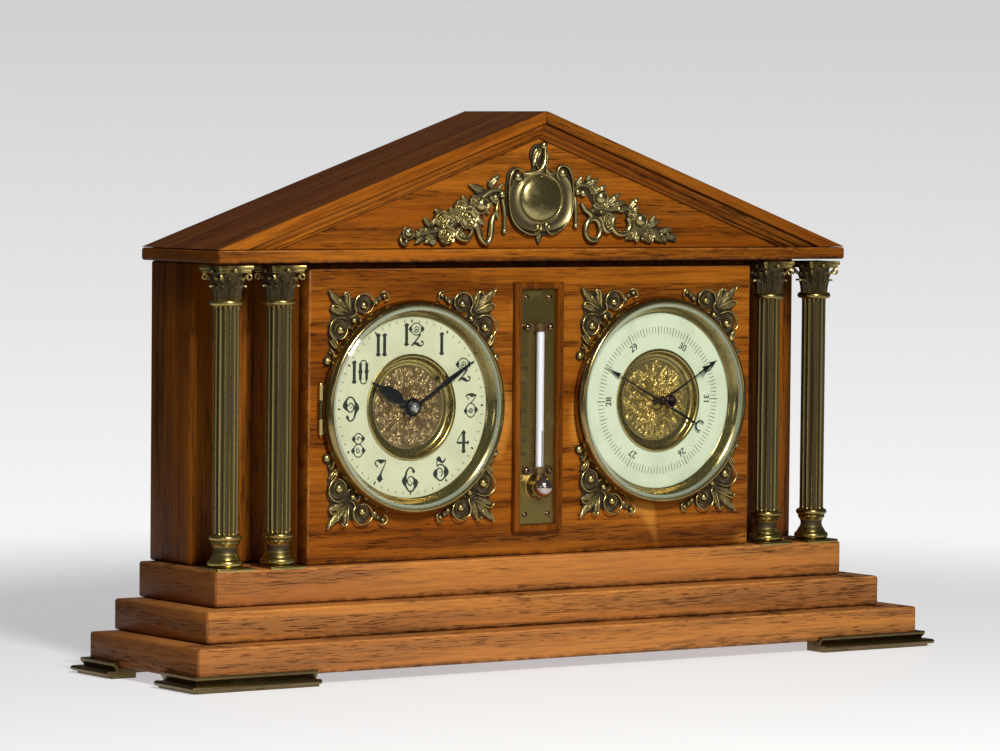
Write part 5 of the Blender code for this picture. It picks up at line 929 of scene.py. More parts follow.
RIGHT_LEAVES = [
    (24.4, 254.6, 27.6, 261.4, 4.8, 0.9, 2.4), (30, 256, 38.8, 259.8, 4.4, 0.8, 2.4),
    (30.6, 257.6, 33.6, 262.2, 3.4, 0.8, 1.8), (44.6, 245.4, 53.6, 252, 4.8, 0.8, 2.4),
    (45.8, 244.2, 56.8, 247.6, 4.8, 0.8, 2.4), (59.2, 242.6, 65, 249.8, 4.8, 0.9, 2.6),
    (46.6, 240.4, 51.4, 238.6, 3.6, 0.8, 1.8), (38.4, 243.8, 33, 241.2, 3.6, 0.8, 1.8),
    (70.6, 233.2, 80, 236.8, 4.6, 0.8, 2.2), (69.8, 231.4, 79.2, 231.4, 4.6, 0.8, 2.2),
    (79.6, 230, 88.6, 233, 4.4, 0.8, 2), (84, 228, 92.6, 228.2, 4.4, 0.8, 2),
    (62.6, 231.6, 57.4, 226.8, 4, 0.8, 2), (66.4, 230.2, 64.4, 225, 3.8, 0.8, 2),
    (70.2, 229.4, 74.8, 225, 4.8, 0.8, 2), (43.4, 239.2, 38.6, 236, 4.2, 1.2, 2),
    (41.6, 244.4, 34.8, 245.4, 4.4, 1.2, 2.2), (46.4, 238, 49.6, 232.6, 4.4, 1.2, 2.2),
    (64, 233.6, 56.8, 231.2, 4.8, 1, 2.2), (75, 229.6, 82.4, 225.6, 4.6, 0.8, 2),
    (73.6, 234.4, 77.4, 240.2, 4.2, 0.8, 2), (37.8, 252.6, 43.8, 256.2, 4.2, 1, 2.2),
    (60.6, 241.2, 66, 244.8, 4.2, 1, 2.2), (82, 229, 85.4, 225, 3.8, 0.8, 1.8),
]
RIGHT_ROSES = [
    (35.6, 254, 0.9, 0.68, 30, 1, 0.9), (45, 237.4, 1, 0.84, 10, 1, 0.9),
    (61.6, 240.4, 1, 0.68, 50, 1, 0.9), (72.8, 228.8, 0.9, 0.78, 20, 1, 0.9),
    (61, 230.2, 0.9, 0.8, 20, 1, 0.9), (42.6, 246, 1, 0.62, 40, 1, 0.9),
]
RIGHT_BERRIES = [
    (24.9, 252.7, 1.6, 2), (28.6, 251.9, 1.6, 2.1), (24, 234.4, 1.4, 1.7), (40.4, 249.9, 1.4, 3.9),
    (66.9, 237.5, 1.4, 3.8), (52.4, 243.6, 2, 1.6), (53.8, 230.2, 2, 1.6), (81.6, 229.6, 1.8, 1.2),
    (77.2, 228.4, 1.8, 1.1), (86, 229.8, 1.6, 0.9), (68.6, 227.2, 1.8, 1.1), (40.6, 241.8, 1.8, 1.1),
    (45.2, 233.6, 1.8, 1.2), (35, 258.6, 2, 1), (48.2, 238.2, 1.8, 1),
]
LEFT_GARLAND = (LEFT_MASS, LEFT_STEMS, LEFT_LEAVES, LEFT_ROSES, LEFT_BERRIES)
RIGHT_GARLAND = (RIGHT_MASS, RIGHT_STEMS, RIGHT_LEAVES, RIGHT_ROSES, RIGHT_BERRIES)


def garland(name, mass, stems, foliage, roses, berries, patterns, look):
    """A cast swag of roses, buds, leaves, berries and a ribbon on a low ground."""
    leaf, ball, rose = patterns
    ground = strands("ground", [mass], sides=3, resolution=5)
    ground.data.transform(Matrix.Diagonal((1, 1, 0.34, 1)))
    parts = [strands(name, stems, sides=3, resolution=4), ground]
    parts += leaves(leaf, *foliage) + stamped(rose, *roses) + studs(ball, *berries)
    item = placed(merged(name + "_mount", parts), 0, 0, SEAT)
    return finished(item, look, stands_for=[name], angle=50)


# Columns

# Name, place across, and a factor on the clean brass colour: painted light, brighter on the left and darker to
# the right as the light falls off.
COLUMNS = (
    ("column_outer_left", -193, 1.16),
    ("column_inner_left", -160.8, 0.96),
    ("column_inner_right", 160.8, 0.86),
    ("column_outer_right", 193, 0.76),
)


def capital_leaf(height, width, curl):
    """A leaf that stands against the bell and curls out at its tip."""
    fresh()
    bpy.ops.mesh.primitive_grid_add(x_subdivisions=8, y_subdivisions=16, size=2)
    item = bpy.context.object
    item.name = "capital_leaf"
    shares = (0, 0.3, 0.6, 0.8, 0.92, 1)
    ups, outs = (0, 0.38, 0.76, 0.97, 1.0, 0.90), (0, 0.10, 0.28, 0.62, 0.92, 1.0)
    for point in item.data.vertices:
        side, along = point.co.x, (point.co.y + 1) / 2
        half = width / 2 * (0.62 + 0.38 * math.sin(math.pi * along))
        half *= 1 - 0.62 * max(0, along - 0.6) ** 2 / 0.16
        half *= 1 - 0.14 * abs(math.sin(3 * math.pi * along))
        up = height * float(np.interp(along, shares, ups))
        out = curl * float(np.interp(along, shares, outs)) + 0.55 * (1 - side * side)
        out += 0.28 * math.exp(-((side / 0.2) ** 2)) + 0.16 * math.cos(math.tau * 2 * side)
        point.co = (side * half * MM, -out * MM, up * MM)
    return changed(item, "SOLIDIFY", thickness=0.5 * MM, offset=-1)


def fluted_shaft(foot, head):
    """Fourteen hollow flutes between flat fillets, rounded off at both ends."""
    ends = (0, 0.5, 1.0, 1.6, 2.4)
    rows = [foot + end for end in ends] + [(foot + head) / 2] + [head - end for end in reversed(ends)]
    item = turned("shaft", [(6.8, row) for row in rows], 14 * 10)
    for point in item.data.vertices:
        x, y, z = point.co / MM
        cell = abs((math.atan2(y, x) * 14 / math.tau) % 1 - 0.5) / 0.41
        end = min(z - foot, head - z)
        arch = 1.0 if end > 2.3 else 0.0 if end < 0.4 else math.sqrt(1 - ((2.4 - end) / 2.4) ** 2)
        hollow = 0.85 * math.sqrt(max(0, 1 - (cell / max(arch, 0.01)) ** 2)) if arch else 0
        share = (6.8 - hollow) / 6.8
        point.co.x *= share
        point.co.y *= share
    return item


def abacus():
    """The hollow sided top plate in two steps."""
    parts = []
    for low, thick, corner, hollow in ((153.7, 1.9, 9.9, 2.0), (155.3, 2.2, 10.75, 2.2)):
        outline = []
        for quarter in range(4):
            turn = math.pi / 2 * quarter
            c, s = math.cos(turn), math.sin(turn)
            for x in (-corner + 1.2, -corner * 0.5, 0, corner * 0.5, corner - 1.2):
                y = -corner + hollow * (1 - (x / (corner - 1.2)) ** 2)
                edge = ("sharp",) if abs(x) > corner * 0.6 else ()
                outline.append((x * c - y * s, x * s + y * c, *edge))
        item = plate("abacus", outline, thick, 0.35, resolution=4)
        item.data.transform(Matrix.Translation((0, 0, low * MM)))
        parts.append(item)
    return parts


def volutes():
    """Small scrolls that rise from the bell to the corners of the abacus."""
    strokes = []
    for quarter in range(4):
        turn = math.radians(45 + 90 * quarter)
        c, s = math.cos(turn), math.sin(turn)
        points = [(7.6, 147.0, 0.55), (8.8, 150.2, 0.6), (10.8, 152.6, 0.65)]
        for step in range(8):
            swing = math.radians(100 - step * 52)
            reach = 1.75 * (1 - step / 9.5)
            points.append((11.6 + reach * math.cos(swing), 151.4 + reach * math.sin(swing), 0.6 - step * 0.03))
        strokes.append([(out * c, out * s, up, radius) for out, up, radius in points])
    return strands("volutes", strokes, sides=2, resolution=3)


def column_pattern(ball):
    """Plinth, turned base, fluted shaft, bead, leafy bell with corner scrolls and abacus, from its foot up."""
    plinth = changed(block((0, 0, 0.95), (21.5, 21.5, 1.9)), "BEVEL", width=0.3 * MM, segments=2)
    torus = round_over(7.4, 3.9, 2.1, 2.1, -90, 91, 15)
    scotia = [(5.9 + 2.4 * (1 - math.sin(math.radians(a))), 6.2 + 9.0 * a / 180) for a in range(20, 161, 14)]
    upper = round_over(6.9, 17.1, 1.7, 1.7, -90, 91, 15)
    base = turned("base", [(7.4, 1.6), *torus, (8.0, 6.0), *scotia, (7.4, 15.3), *upper, (6.4, 19.2)], 80)
    bead = round_over(7.5, 138.3, 1.7, 1.7, -90, 91, 15)
    bell = [(6.4 + 2.4 * (step / 8) ** 1.6, BELL_FOOT + 14 * step / 8) for step in range(9)]
    top = turned("bell", [(6.4, 136.4), *bead, (6.5, 140.1), *bell], 80)
    parts = [plinth, base, fluted_shaft(18.6, 136.7), top, volutes(), *abacus()]
    for start, height, width, curl, foot in ((0, 7.0, 5.0, 2.5, 6.5), (22.5, 11.2, 4.8, 2.9, 6.4)):
        leaf = capital_leaf(height, width, curl)
        for step in range(8):
            turn = Matrix.Rotation(math.radians(start + 360 * step / 8), 4, "Z")
            parts.append(copied(leaf, turn @ Matrix.Translation((0, -foot * MM, BELL_FOOT * MM))))
        bpy.data.objects.remove(leaf)
    for quarter in range(4):
        turn = Matrix.Rotation(math.pi / 2 * quarter, 4, "Z")
        upright = Matrix.Translation((0, -8.9 * MM, 154.9 * MM)) @ Matrix.Rotation(math.pi / 2, 4, "X")
        parts.append(copied(ball, turn @ upright @ Matrix.Diagonal((1.7, 1.5, 1.1, 1))))
    for step in range(28):
        turn = Matrix.Rotation(math.tau * step / 28, 4, "Z")
        parts.append(copied(ball, turn @ Matrix.Translation((0, -6.9 * MM, 140.9 * MM)) @ Matrix.Scale(0.55, 4)))
    return merged("column", parts)


def column_recess(across):
    """The hollows of the flutes, and the bell of the capital behind its leaves."""
    shaft, bell = round_axis(across, 6.05, 6.75), round_axis(across, 8.2, 11.4)

    def recess(look):
        capital = look.axes()[2].rise(196.6 * MM, 197.4 * MM)
        return shaft(look).most(bell(look) * capital)

    return recess


def columns(ball):
    """Four columns from one casting. Their brass is painted darker on those to the right, as painted shade where
    the light falls off.
    """
    pattern = column_pattern(ball)
    for name, across, worn in COLUMNS:
        # Painted light: the clean brass colour is scaled by the column's factor, darker towards the right.
        clean, dull = tuple(part * worn for part in (0.44, 0.34, 0.110)), (0.036, 0.025, 0.012)
        look = brass(name + "_brass", clean, dull, column_recess(across), rough=0.24, patina=0.94)
        foot = (across * MM, BACK - COLUMN_AXIS * MM, COLUMN_FOOT * MM)
        item = sound(copied(pattern, Matrix.Translation(foot)))
        item.name = name + "_cast"
        finished(item, look, stands_for=[name], angle=38)
    bpy.data.objects.remove(pattern)


# Wood


def wood():
    """Every board, with its arrises eased and its grain along it."""
    tilt = math.atan2(ROOF_RISE, ROOF_RUN)
    upright = (0, math.pi / 2, 0)
    for number, name in enumerate(("base_lower_step", "base_middle_step", "base_upper_step", "cornice_board")):
        tone, faded = (1.08, 0) if name == "cornice_board" else (1.45, 0.28)
        # Painted shade on the end faces of the steps and the cornice.
        ends = {"returned": True, "side_shade": 0.55, "faded": faded}
        eased(name, oak(name + "_oak", tone=tone, shift=0.31 * number, box=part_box(name), **ends), 0.6)
    eased("front_panel", oak("panel_oak", shift=0.7, flecks=0.8, box=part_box("front_panel")), 0.5)
    # Painted shade: the case is toned darker overall and its end faces darker still, as shade on its sides and in
    # the recess behind the columns.
    case = oak("case_oak", grain=upright, tone=0.78, shift=1.3, box=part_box("case_body"), side_shade=0.50)
    eased("case_body", case, 0.7)
    eased("tympanum", oak("tympanum_oak", shift=2.1), 0.4)
    back = oak("back_oak", tone=0.5, shift=2.9, gloss=0.55)
    for name in ("back_board", "pediment_back"):
        eased(name, back, 0.5)
    # Painted light: the left roof board and rake are toned lighter and the right ones darker, as light that falls
    # off to the right; the roof tops also get painted shade behind their front edges.
    for side, turn, tone in (("left", tilt, 1.1), ("right", -tilt, 0.74)):
        grain = (0, turn, 0)
        roof = oak(f"roof_oak_{side}", grain=grain, tone=tone, shift=3.3 + turn, top_shade=0.60)
        eased(f"roof_board_{side}", roof, 0.6)
        rake = oak(f"rake_oak_{side}", grain=grain, tone=tone, shift=3.6 + turn)
        eased(f"raking_moulding_{side}", rake, 0.3)
    eased("thermometer_frame", oak("bead_oak", grain=upright, tone=0.75, shift=4.1, gloss=0.22), 0.5)


# Bezels, glasses and dials


def bezel(name, centre, body, look):
    """A bezel, from the wall round the crest to the bright cove inside the glass."""
    wall = [(56.0, 71.0), (56.1, 71.9), (56.7, 72.1), (57.0, 72.8), (56.9, 74.2), (56.4, 75.8), (55.7, 77.1)]
    crest = [(55.0, 77.9), (54.4, 78.25), (53.9, 78.25), (53.5, 77.9), (53.4, 77.3), (53.4, 75.9)]
    cove = [(52.6, 75.7), (51.2, 74.7), (49.9, 73.4), (48.9, 72.0), (48.2, 71.2), (47.9, 71.0)]
    profile = [*wall, *crest, *cove]
    item = placed(ring(name, profile), *centre)
    if body == "door":
        item = merged(name, [item, *knuckle()])
    return finished(item, look, body, stands_for=[name.replace("_ring", "")])


def knuckle():
    """The middle barrel of the hinge with its leaf and pin, on the hinge's own axis."""
    barrel = turned("knuckle", [(1.1, -4.7), (1.3, -4.5), (1.3, 4.5), (1.1, 4.7)], 32)
    pin = turned("pin", [(0.45, -14.0), (0.6, -13.8), (0.6, 13.8), (0.45, 14.0)], 24)
    for item in (barrel, pin):
        item.data.transform(Matrix.Translation((HINGE_ACROSS * MM, BACK - HINGE_FORWARD * MM, HINGE_UP * MM)))
    leaf = block((HINGE_ACROSS + 1.7, BACK / MM - 71.6, HINGE_UP), (3.4, 1.0, 9.2))
    leaf = changed(leaf, "BEVEL", width=0.2 * MM, segments=2)
    bpy.ops.object.transform_apply(location=True, rotation=True, scale=True)
    return [barrel, pin, leaf]


def glass(name, centre, body, bore):
    """A bevelled pane, with a bore where a knob goes through it."""
    profile = [(GLASS_FLAT, 78.0), (GLASS_EDGE, 77.0), (GLASS_EDGE, 76.0)]
    if bore:
        item = ring(name, [(bore, 78.0), *profile, (bore, 76.0)])
    else:
        item = turned(name, profile)
    look = window_glass(name + "_look", centre)
    return finished(placed(item, *centre), look, body, [name.replace("_pane", "")], 20)


def dish(name, centre, hole, look):
    """The recessed gilt centre: a thin rim, a smooth cove and a flat floor."""
    cove = round_over(23.9, 69.7, 2.2, 2.2, -90, 1, 15)
    rim = [(26.3, 71.0), (26.7, 71.3), (27.5, 71.3), (28.2, 71.0), (28.2, 70.7), (26.9, 70.7)]
    profile = [(hole, 67.5), (21.5, 67.5), (22.0, 67.3), (22.5, 67.5), *cove, *rim, (26.9, 66.7), (hole, 66.7)]
    return finished(placed(ring(name, profile, 96), *centre), look, stands_for=[name.replace("_dish", "")])


def filigree(name, centre, seed, look):
    """Dense scrollwork: the height of a fine disc follows its distance from many small spirals."""
    draw = random.Random(seed)
    wires = []
    for _ in range(150):
        distance, angle = 21.0 * math.sqrt(draw.random()), draw.uniform(0, math.tau)
        x, y = distance * math.cos(angle), distance * math.sin(angle)
        size, start, way = draw.uniform(0.9, 1.9), draw.uniform(0, math.tau), draw.choice((-1, 1))
        for step in range(26):
            share = step / 25
            reach = size * (1 - 0.85 * share)
            turn = start + way * share * 8.5
            wires.append((x + reach * math.cos(turn), y + reach * math.sin(turn), 0.30 + 0.25 * share))
    for spoke in range(44):
        angle = math.tau * spoke / 44 + draw.uniform(-0.05, 0.05)
        bend = draw.uniform(-0.25, 0.25)
        for step in range(40):
            distance = 6 + 14 * step / 39
            turn = angle + bend * (step / 39) ** 2
            wires.append((distance * math.cos(turn), distance * math.sin(turn), 0.30))
    lookup = kdtree.KDTree(len(wires))
    for index, (x, y, _) in enumerate(wires):
        lookup.insert((x, y, 0), index)
    lookup.balance()
    rows = [(FILIGREE_IN + (FILIGREE_OUT - FILIGREE_IN) * row / 90, 67.9) for row in range(91)]
    item = turned(name, [(FILIGREE_IN, 67.55), *rows, (FILIGREE_OUT, 67.55)], 300, open_ends=True)
    for point in item.data.vertices:
        x, y, z = point.co / MM
        if z > 67.7:
            _, index, gap = lookup.find((x, y, 0))
            crest = max(0.0, 1 - (gap / (wires[index][2] * 1.25)) ** 2)
            swell = 1 - 0.4 * (math.hypot(x, y) / FILIGREE_OUT) ** 2
            point.co.z += (0.95 * crest - 0.2) * swell * MM
    return finished(placed(item, *centre), look, angle=60)


# Numerals and scales


def numeral(curves, corners=(), dots=()):
    """One numeral: smooth curves of (x, y, radius), straight ones, and round dots."""
    smooth = [[(x, y, 0, radius * 1.9) for x, y, radius in curve] for curve in curves]
    straight = [[(x, y, 0, radius * 1.6) for x, y, radius in curve] for curve in corners]
    straight += [[(x - radius * 0.5, y, 0, radius), (x + radius * 0.5, y, 0, radius)] for x, y, radius in dots]
    return smooth, straight


def hoop(x, y, across, up):
    """A fine oval."""
    return [(px, py, radius) for px, py, _, radius in arc(x, y, 0, across, up, 0, 360, 0.16, 16)]


def diamonds(*places):
    """The pointed swellings at the sides of a round stroke."""
    return [[(x, y - 1.7, 0.05), (x, y, 0.85), (x, y + 1.7, 0.05)] for x, y in places]


def coil(x, y, reach, start, sweep):
    """A fine spiral that winds inwards."""
    points = []
    for step in range(13):
        turn = math.radians(start + sweep * step / 12)
        out = reach * (1 - 0.75 * step / 12)
        points.append((x + out * math.cos(turn), y + out * math.sin(turn), 0.15))
    return points


def zero_side(way):
    """One upright of the nought, swelling at its middle."""
    ends = [(2.3, 4.9, 0.10), (1.95, 4.1, 0.75), (1.95, 3.4, 0.55), (1.95, 1.2, 0.55), (1.95, 0.2, 0.95)]
    ends += [(1.95, -0.8, 0.55), (1.95, -3.9, 0.55), (1.95, -4.7, 0.15)]
    return [(way * x, y, radius) for x, y, radius in ends]


NUMERALS = {
    "0": numeral(
        [
            [(-1.9, 3.4, 0.17), (-1.6, 5.2, 0.17), (0, 6.1, 0.17), (1.6, 5.2, 0.17), (1.9, 3.4, 0.17)],
            [(-1.9, -3.6, 0.17), (-1.6, -5.4, 0.17), (0, -6.2, 0.17), (1.6, -5.4, 0.17), (1.9, -3.6, 0.17)],
        ],
        [zero_side(-1), zero_side(1)],
    ),
    "1": numeral(
        [],
        [[(-0.3, 6.2, 0.1), (0, 5.2, 1.05), (0, 4.3, 0.6), (0, -4.3, 0.6), (0, -5.2, 1.05), (0, -6.2, 0.1)]],
    ),
    "2": numeral(
        [
            hoop(0, 2.9, 3.3, 3.2),
            coil(0, 2.9, 2, 200, 500),
            [(2.6, 0.2, 0.3), (0, -3, 0.22), (-3.2, -6, 0.15)],
            [(-3.2, -6, 0.15), (-1, -4.6, 0.4), (1, -5.2, 0.5), (3, -6, 0.2), (4.4, -4.6, 0.2),
             (3.8, -3.4, 0.2)],
        ],
        diamonds((-3.7, 2.9), (3.9, 2.9)),
        [(0, 2.9, 0.45), (3.2, -3.8, 0.65)],
    ),
    "3": numeral(
        [
            [(-3.1, 4.4, 0.2), (-2.8, 5.4, 0.2), (-1.4, 5.9, 0.25), (0.6, 5.6, 0.6), (3.4, 5.5, 0.15)],
            [(3.4, 5.5, 0.15), (1.2, 2.6, 0.15), (-0.1, 1.4, 0.2)],
            hoop(-0.1, -2.5, 3, 3.7),
            coil(-0.1, -2.5, 1.5, 180, 480),
        ],
        diamonds((-3.4, -2.8), (3.3, -2.3)),
        [(-1.9, 3.9, 0.65), (-0.1, -2.5, 0.4)],
    ),
    "4": numeral(
        [[(-0.4, 4.9, 0.15), (-2.2, 2.4, 0.15), (-3.8, -0.3, 0.15)]],
        [
            [(0.6, 6.2, 0.1), (0.6, 5, 1), (0.6, 4.2, 0.6), (0.6, -4.3, 0.6), (0.6, -5.2, 1),
             (0.6, -6.2, 0.1)],
            [(-4.1, -0.5, 0.1), (-2.8, -0.5, 0.4), (4.1, -0.5, 0.3)],
        ],
        [(3.4, -0.5, 0.95)],
    ),
    "5": numeral(
        [
            [(-2.3, 5.9, 0.3), (-1.5, 5.5, 0.75), (0, 4.2, 0.45), (0.8, 3.5, 0.3), (2.2, 4.2, 0.3),
             (3.1, 5.8, 0.1)],
            [(-2.4, 1.4, 0.2), (-1.2, 2.2, 0.2), (0, 2.3, 0.2), (2.4, 1.2, 0.25), (3.5, -1.8, 0.95),
             (2.4, -4.6, 0.25), (0, -6.1, 0.2), (-2.4, -4.8, 0.25), (-3.4, -2.5, 0.85), (-2, -0.1, 0.2),
             (-0.3, 0.4, 0.18), (1, -1.2, 0.18), (1.1, -2.5, 0.18), (0.3, -4, 0.18)],
        ],
        [[(-2.4, 6, 0.2), (-2.4, 1.2, 0.2)]],
        [(-0.4, -1.7, 0.5)],
    ),
    "6": numeral(
        [
            [(1.9, 3.2, 0.1), (1.8, 4.3, 0.55), (1.2, 5.6, 0.25), (0, 6.4, 0.2), (-2, 5.2, 0.25),
             (-3.2, 2, 0.4), (-3.8, -0.5, 0.95), (-3, -3.4, 0.3), (0, -6.2, 0.2), (2.4, -4.6, 0.3),
             (3.1, -1.6, 0.95), (1.9, 0.6, 0.25), (0, 1.7, 0.18), (-1.8, 0.2, 0.18), (-1.6, -2, 0.18),
             (-0.2, -3, 0.18), (1, -1.6, 0.18)],
        ],
        dots=[(-0.4, -0.7, 0.5)],
    ),
    "7": numeral(
        [
            [(-2.6, 2.8, 0.2), (-3.3, 4.4, 0.2), (-1.8, 5.7, 0.2), (0.2, 5.1, 0.65), (3.3, 5.6, 0.15)],
            [(3.3, 5.6, 0.15), (3, 4, 0.15), (1.4, 0.9, 0.2), (0.2, -1.6, 0.3), (-0.4, -4.2, 1.05),
             (-0.4, -5.9, 0.15)],
        ],
        dots=[(-2, 2.6, 0.7)],
    ),
    "8": numeral(
        [hoop(0, 3.3, 2.6, 2.8), hoop(0, -2.9, 2.9, 3.4), coil(0, 3.3, 1.2, 0, 300), coil(0, -2.9, 1.5, 90, 400)],
        diamonds((-2.9, 3.3), (2.9, 3.3), (-3.3, -2.9), (3.3, -2.9)),
    ),
}
HOURS = {hour: ((str(hour), 0),) for hour in range(1, 9)}
HOURS |= {9: (("6", 0),), 10: (("1", -2.9), ("0", 2.9))}
HOURS |= {11: (("1", -2.0), ("1", 2.0)), 12: (("1", -3.3), ("2", 2.9))}


def flat_ink(item, lift):
    """Presses strands into a thin layer of ink that lies on its dial."""
    item.data.transform(Matrix.Translation((0, 0, lift * MM)) @ Matrix.Diagonal((1, 1, INK_SHARE, 1)))
    return item


def hour_numerals(look):
    """The twelve hours, all upright. The nine is the six turned over."""
    smooth, straight = [], []
    for hour, signs in HOURS.items():
        turn = math.tau * hour / 12
        across, up = HOUR_RING * math.sin(turn), HOUR_RING * math.cos(turn)
        for sign, shift in signs:
            way = -1 if hour == 9 else 1
            for group, kept in zip(NUMERALS[sign], (smooth, straight)):
                for stroke in group:
                    kept.append([(across + shift + way * x, up + way * y, z, width) for x, y, z, width in stroke])
    parts = [strands("hours", smooth, resolution=6), strands("bars", straight, smooth=False)]
    item = flat_ink(merged("clock_numerals", parts), PRINT)
    return finished(placed(item, *CLOCK), look)


def marks(name, count, first, sweep, inner, outer, width):
    """Straight marks round a dial: one thin bar is narrowed towards the middle, then spun as copies."""
    item = block((0, (outer + inner) / 2, 0), (width, outer - inner, FILM))
    item.name = name
    bpy.ops.object.transform_apply(location=True, rotation=True, scale=True)
    for point in item.data.vertices:
        if point.co.y < (outer + inner) / 2 * MM:
            point.co.x *= 0.7
    item.data.transform(Matrix.Rotation(-math.radians(first), 4, "Z"))
    if count > 1:
        bpy.ops.object.mode_set(mode="EDIT")
        bpy.ops.mesh.select_all(action="SELECT")
        turn = math.radians(sweep)
        bpy.ops.mesh.spin(steps=count - 1, dupli=True, angle=turn, center=(0, 0, 0), axis=(0, 0, -1))
        bpy.ops.object.mode_set(mode="OBJECT")
    return item


def minute_ring(look):
    """Sixty short dashes, with a longer lozenge at every fifth."""
    parts = [marks("minute_ring", 60, 0, 354, 44.7, 46.2, 0.42)]
    lozenge = ((44.3, 0.05), (45.4, 0.62), (46.5, 0.05))
    spots = []
    for hour in range(12):
        turn = math.tau * hour / 12
        s, c = math.sin(turn), math.cos(turn)
        spots.append([(reach * s, reach * c, 0, radius) for reach, radius in lozenge])
    parts.append(flat_ink(strands("fives", spots, smooth=False), 0))
    item = merged("clock_minute_ring", parts)
    item.data.transform(Matrix.Translation((0, 0, PRINT * MM)))
    return finished(placed(item, *CLOCK), look)


def number(text, size, x, y, turn):
    """A plain number as a thin mesh."""
    fresh()
    bpy.ops.object.text_add()
    item = bpy.context.object
    item.data.body = text
    item.data.size = size * MM
    item.data.align_x = "CENTER"
    item.data.align_y = "CENTER"
    item.data.resolution_u = 3
    item.data.offset = 0.02 * size * MM
    item.data.extrude = 0.015 * MM
    bpy.ops.object.convert(target="MESH")
    item = bpy.context.object
    item.data.transform(Matrix.Translation((x * MM, y * MM, 0)) @ Matrix.Rotation(math.radians(turn), 4, "Z"))
    return item


def pressure_scale(look):
    """Marks of a twentieth of an inch all round, with 26 to 31 at every sixth of the turn."""
    parts = []
    for step in range(120):
        if step % 20:
            reach = (36.6, 40.3, 0.36) if step % 5 else (35.6, 40.6, 0.42)
            parts.append(marks("mark", 1, SCALE_START + INCH / 20 * step, 0, *reach))
    for inches in range(6):
        angle = SCALE_START + INCH * inches
        turn = math.radians(angle)
        parts.append(marks("mark", 1, angle, 0, 35.2, 40.9, 0.55))
        x, y = NUMBER_RING * math.sin(turn), NUMBER_RING * math.cos(turn)
        parts.append(number(str(26 + inches), 5.2, x, y, -angle))
    item = merged("barometer_scale", parts)
    item.data.transform(Matrix.Translation((0, 0, PRINT * MM)))
    return finished(placed(item, *BAROMETER), look)


# Hands

HOUR_BLADE = [
    (0, 1.3), (5, 1), (7.6, 1.5), (10, 3), (14, 3.45), (18.6, 3.05), (21.8, 1.7), (24.6, 0.75),
    (27.5, 0.45),
]
MINUTE_BLADE = [
    (0, 0.9), (6, 0.75), (12, 0.7), (18, 1.1), (25, 1.45), (31, 1.2), (37, 0.75), (42, 0.4),
]


def mirrored(right, tip):
    """An outline that runs up the right side to a sharp tip and down the left side."""
    return [*right, (0, tip, "sharp"), *[(-point[0], *point[1:]) for point in reversed(right)]]


def set_to(item, turn, level):
    """Turns a hand clockwise from the top and lifts it to its level."""
    item.data.transform(Matrix.Translation((0, 0, level * MM)) @ Matrix.Rotation(-math.radians(turn), 4, "Z"))
    return item


def blade(name, widths, length, level, turn):
    """A hand from its half widths at distances from the middle, set to where it points."""
    outline = mirrored([(width, reach) for reach, width in widths], length)
    return set_to(plate(name, outline, HAND_THICK, 0.12, resolution=5), turn, level)


def hands(look, bright):
    """The hour and the minute hand, each with its boss, and the cap on the arbor."""
    hub = turned("hub", [(2.9, 71.6), (4.8, 71.6), (5.0, 71.8), (5.0, 72.1), (4.8, 72.3), (2.9, 72.3)], 64)
    hour = merged("hour_hand_blued", [blade("hour", HOUR_BLADE, 30, HOUR_LEVEL, HOUR_TURN), hub])
    finished(placed(hour, *CLOCK), look, "hour_wheel", ["hour_hand"])
    boss = turned("boss", [(1.0, 73.2), (3.8, 73.2), (4.0, 73.4), (4.0, 73.8), (3.7, 74.0), (1.0, 74.1)], 64)
    minute = merged("minute_hand_blued", [blade("minute", MINUTE_BLADE, 45.5, MINUTE_LEVEL, MINUTE_TURN), boss])
    finished(placed(minute, *CLOCK), look, "minute_arbor", ["minute_hand"])
    cap = turned("hand_cap", [(2.3, 73.9), *round_over(0, 74.1, 2.3, 1.6, 0, 88, 12), (0.05, 75.7)], 48)
    cap = placed(cap, *CLOCK)
    finished(cap, bright, "minute_arbor")


def pressure_hand(look):
    """The fine arrow with a crescent on its tail, on a staff that goes back to the works."""
    right = [(0.34, -28.6), (0.30, 28.0), (0.42, 30.8), (1.75, 29.6, "sharp")]
    right += [(1.05, 32.0), (0.50, 34.8), (0.24, 37.4)]
    arrow = plate("arrow", mirrored(right, 42.3), HAND_THICK, 0.1, resolution=4)
    crescent = [(x, y, 0.33, radius) for x, y, _, radius in arc(0, -31.6, 0, 2.75, 2.75, -42, 222, 0.42, 12)]
    crescent[0] = (*crescent[0][:3], 0.08)
    crescent[-1] = (*crescent[-1][:3], 0.08)
    moon = strands("crescent", [crescent])
    for item in (arrow, moon):
        set_to(item, PRESSURE_TURN, PRESSURE_LEVEL)
    hub = turned("hub", [(1.2, 70.1), (1.2, 71.4), (2.0, 71.5), (2.1, 72.6), (1.7, 73.2), (0.5, 73.2)], 48)
    staff = turned("staff", [(0.8, 57.3), (0.8, 70.3)], 24)
    item = placed(merged("pressure_hand_blued", [arrow, moon, hub, staff]), *BAROMETER)
    finished(item, look, "pressure_hand", ["pressure_hand"])


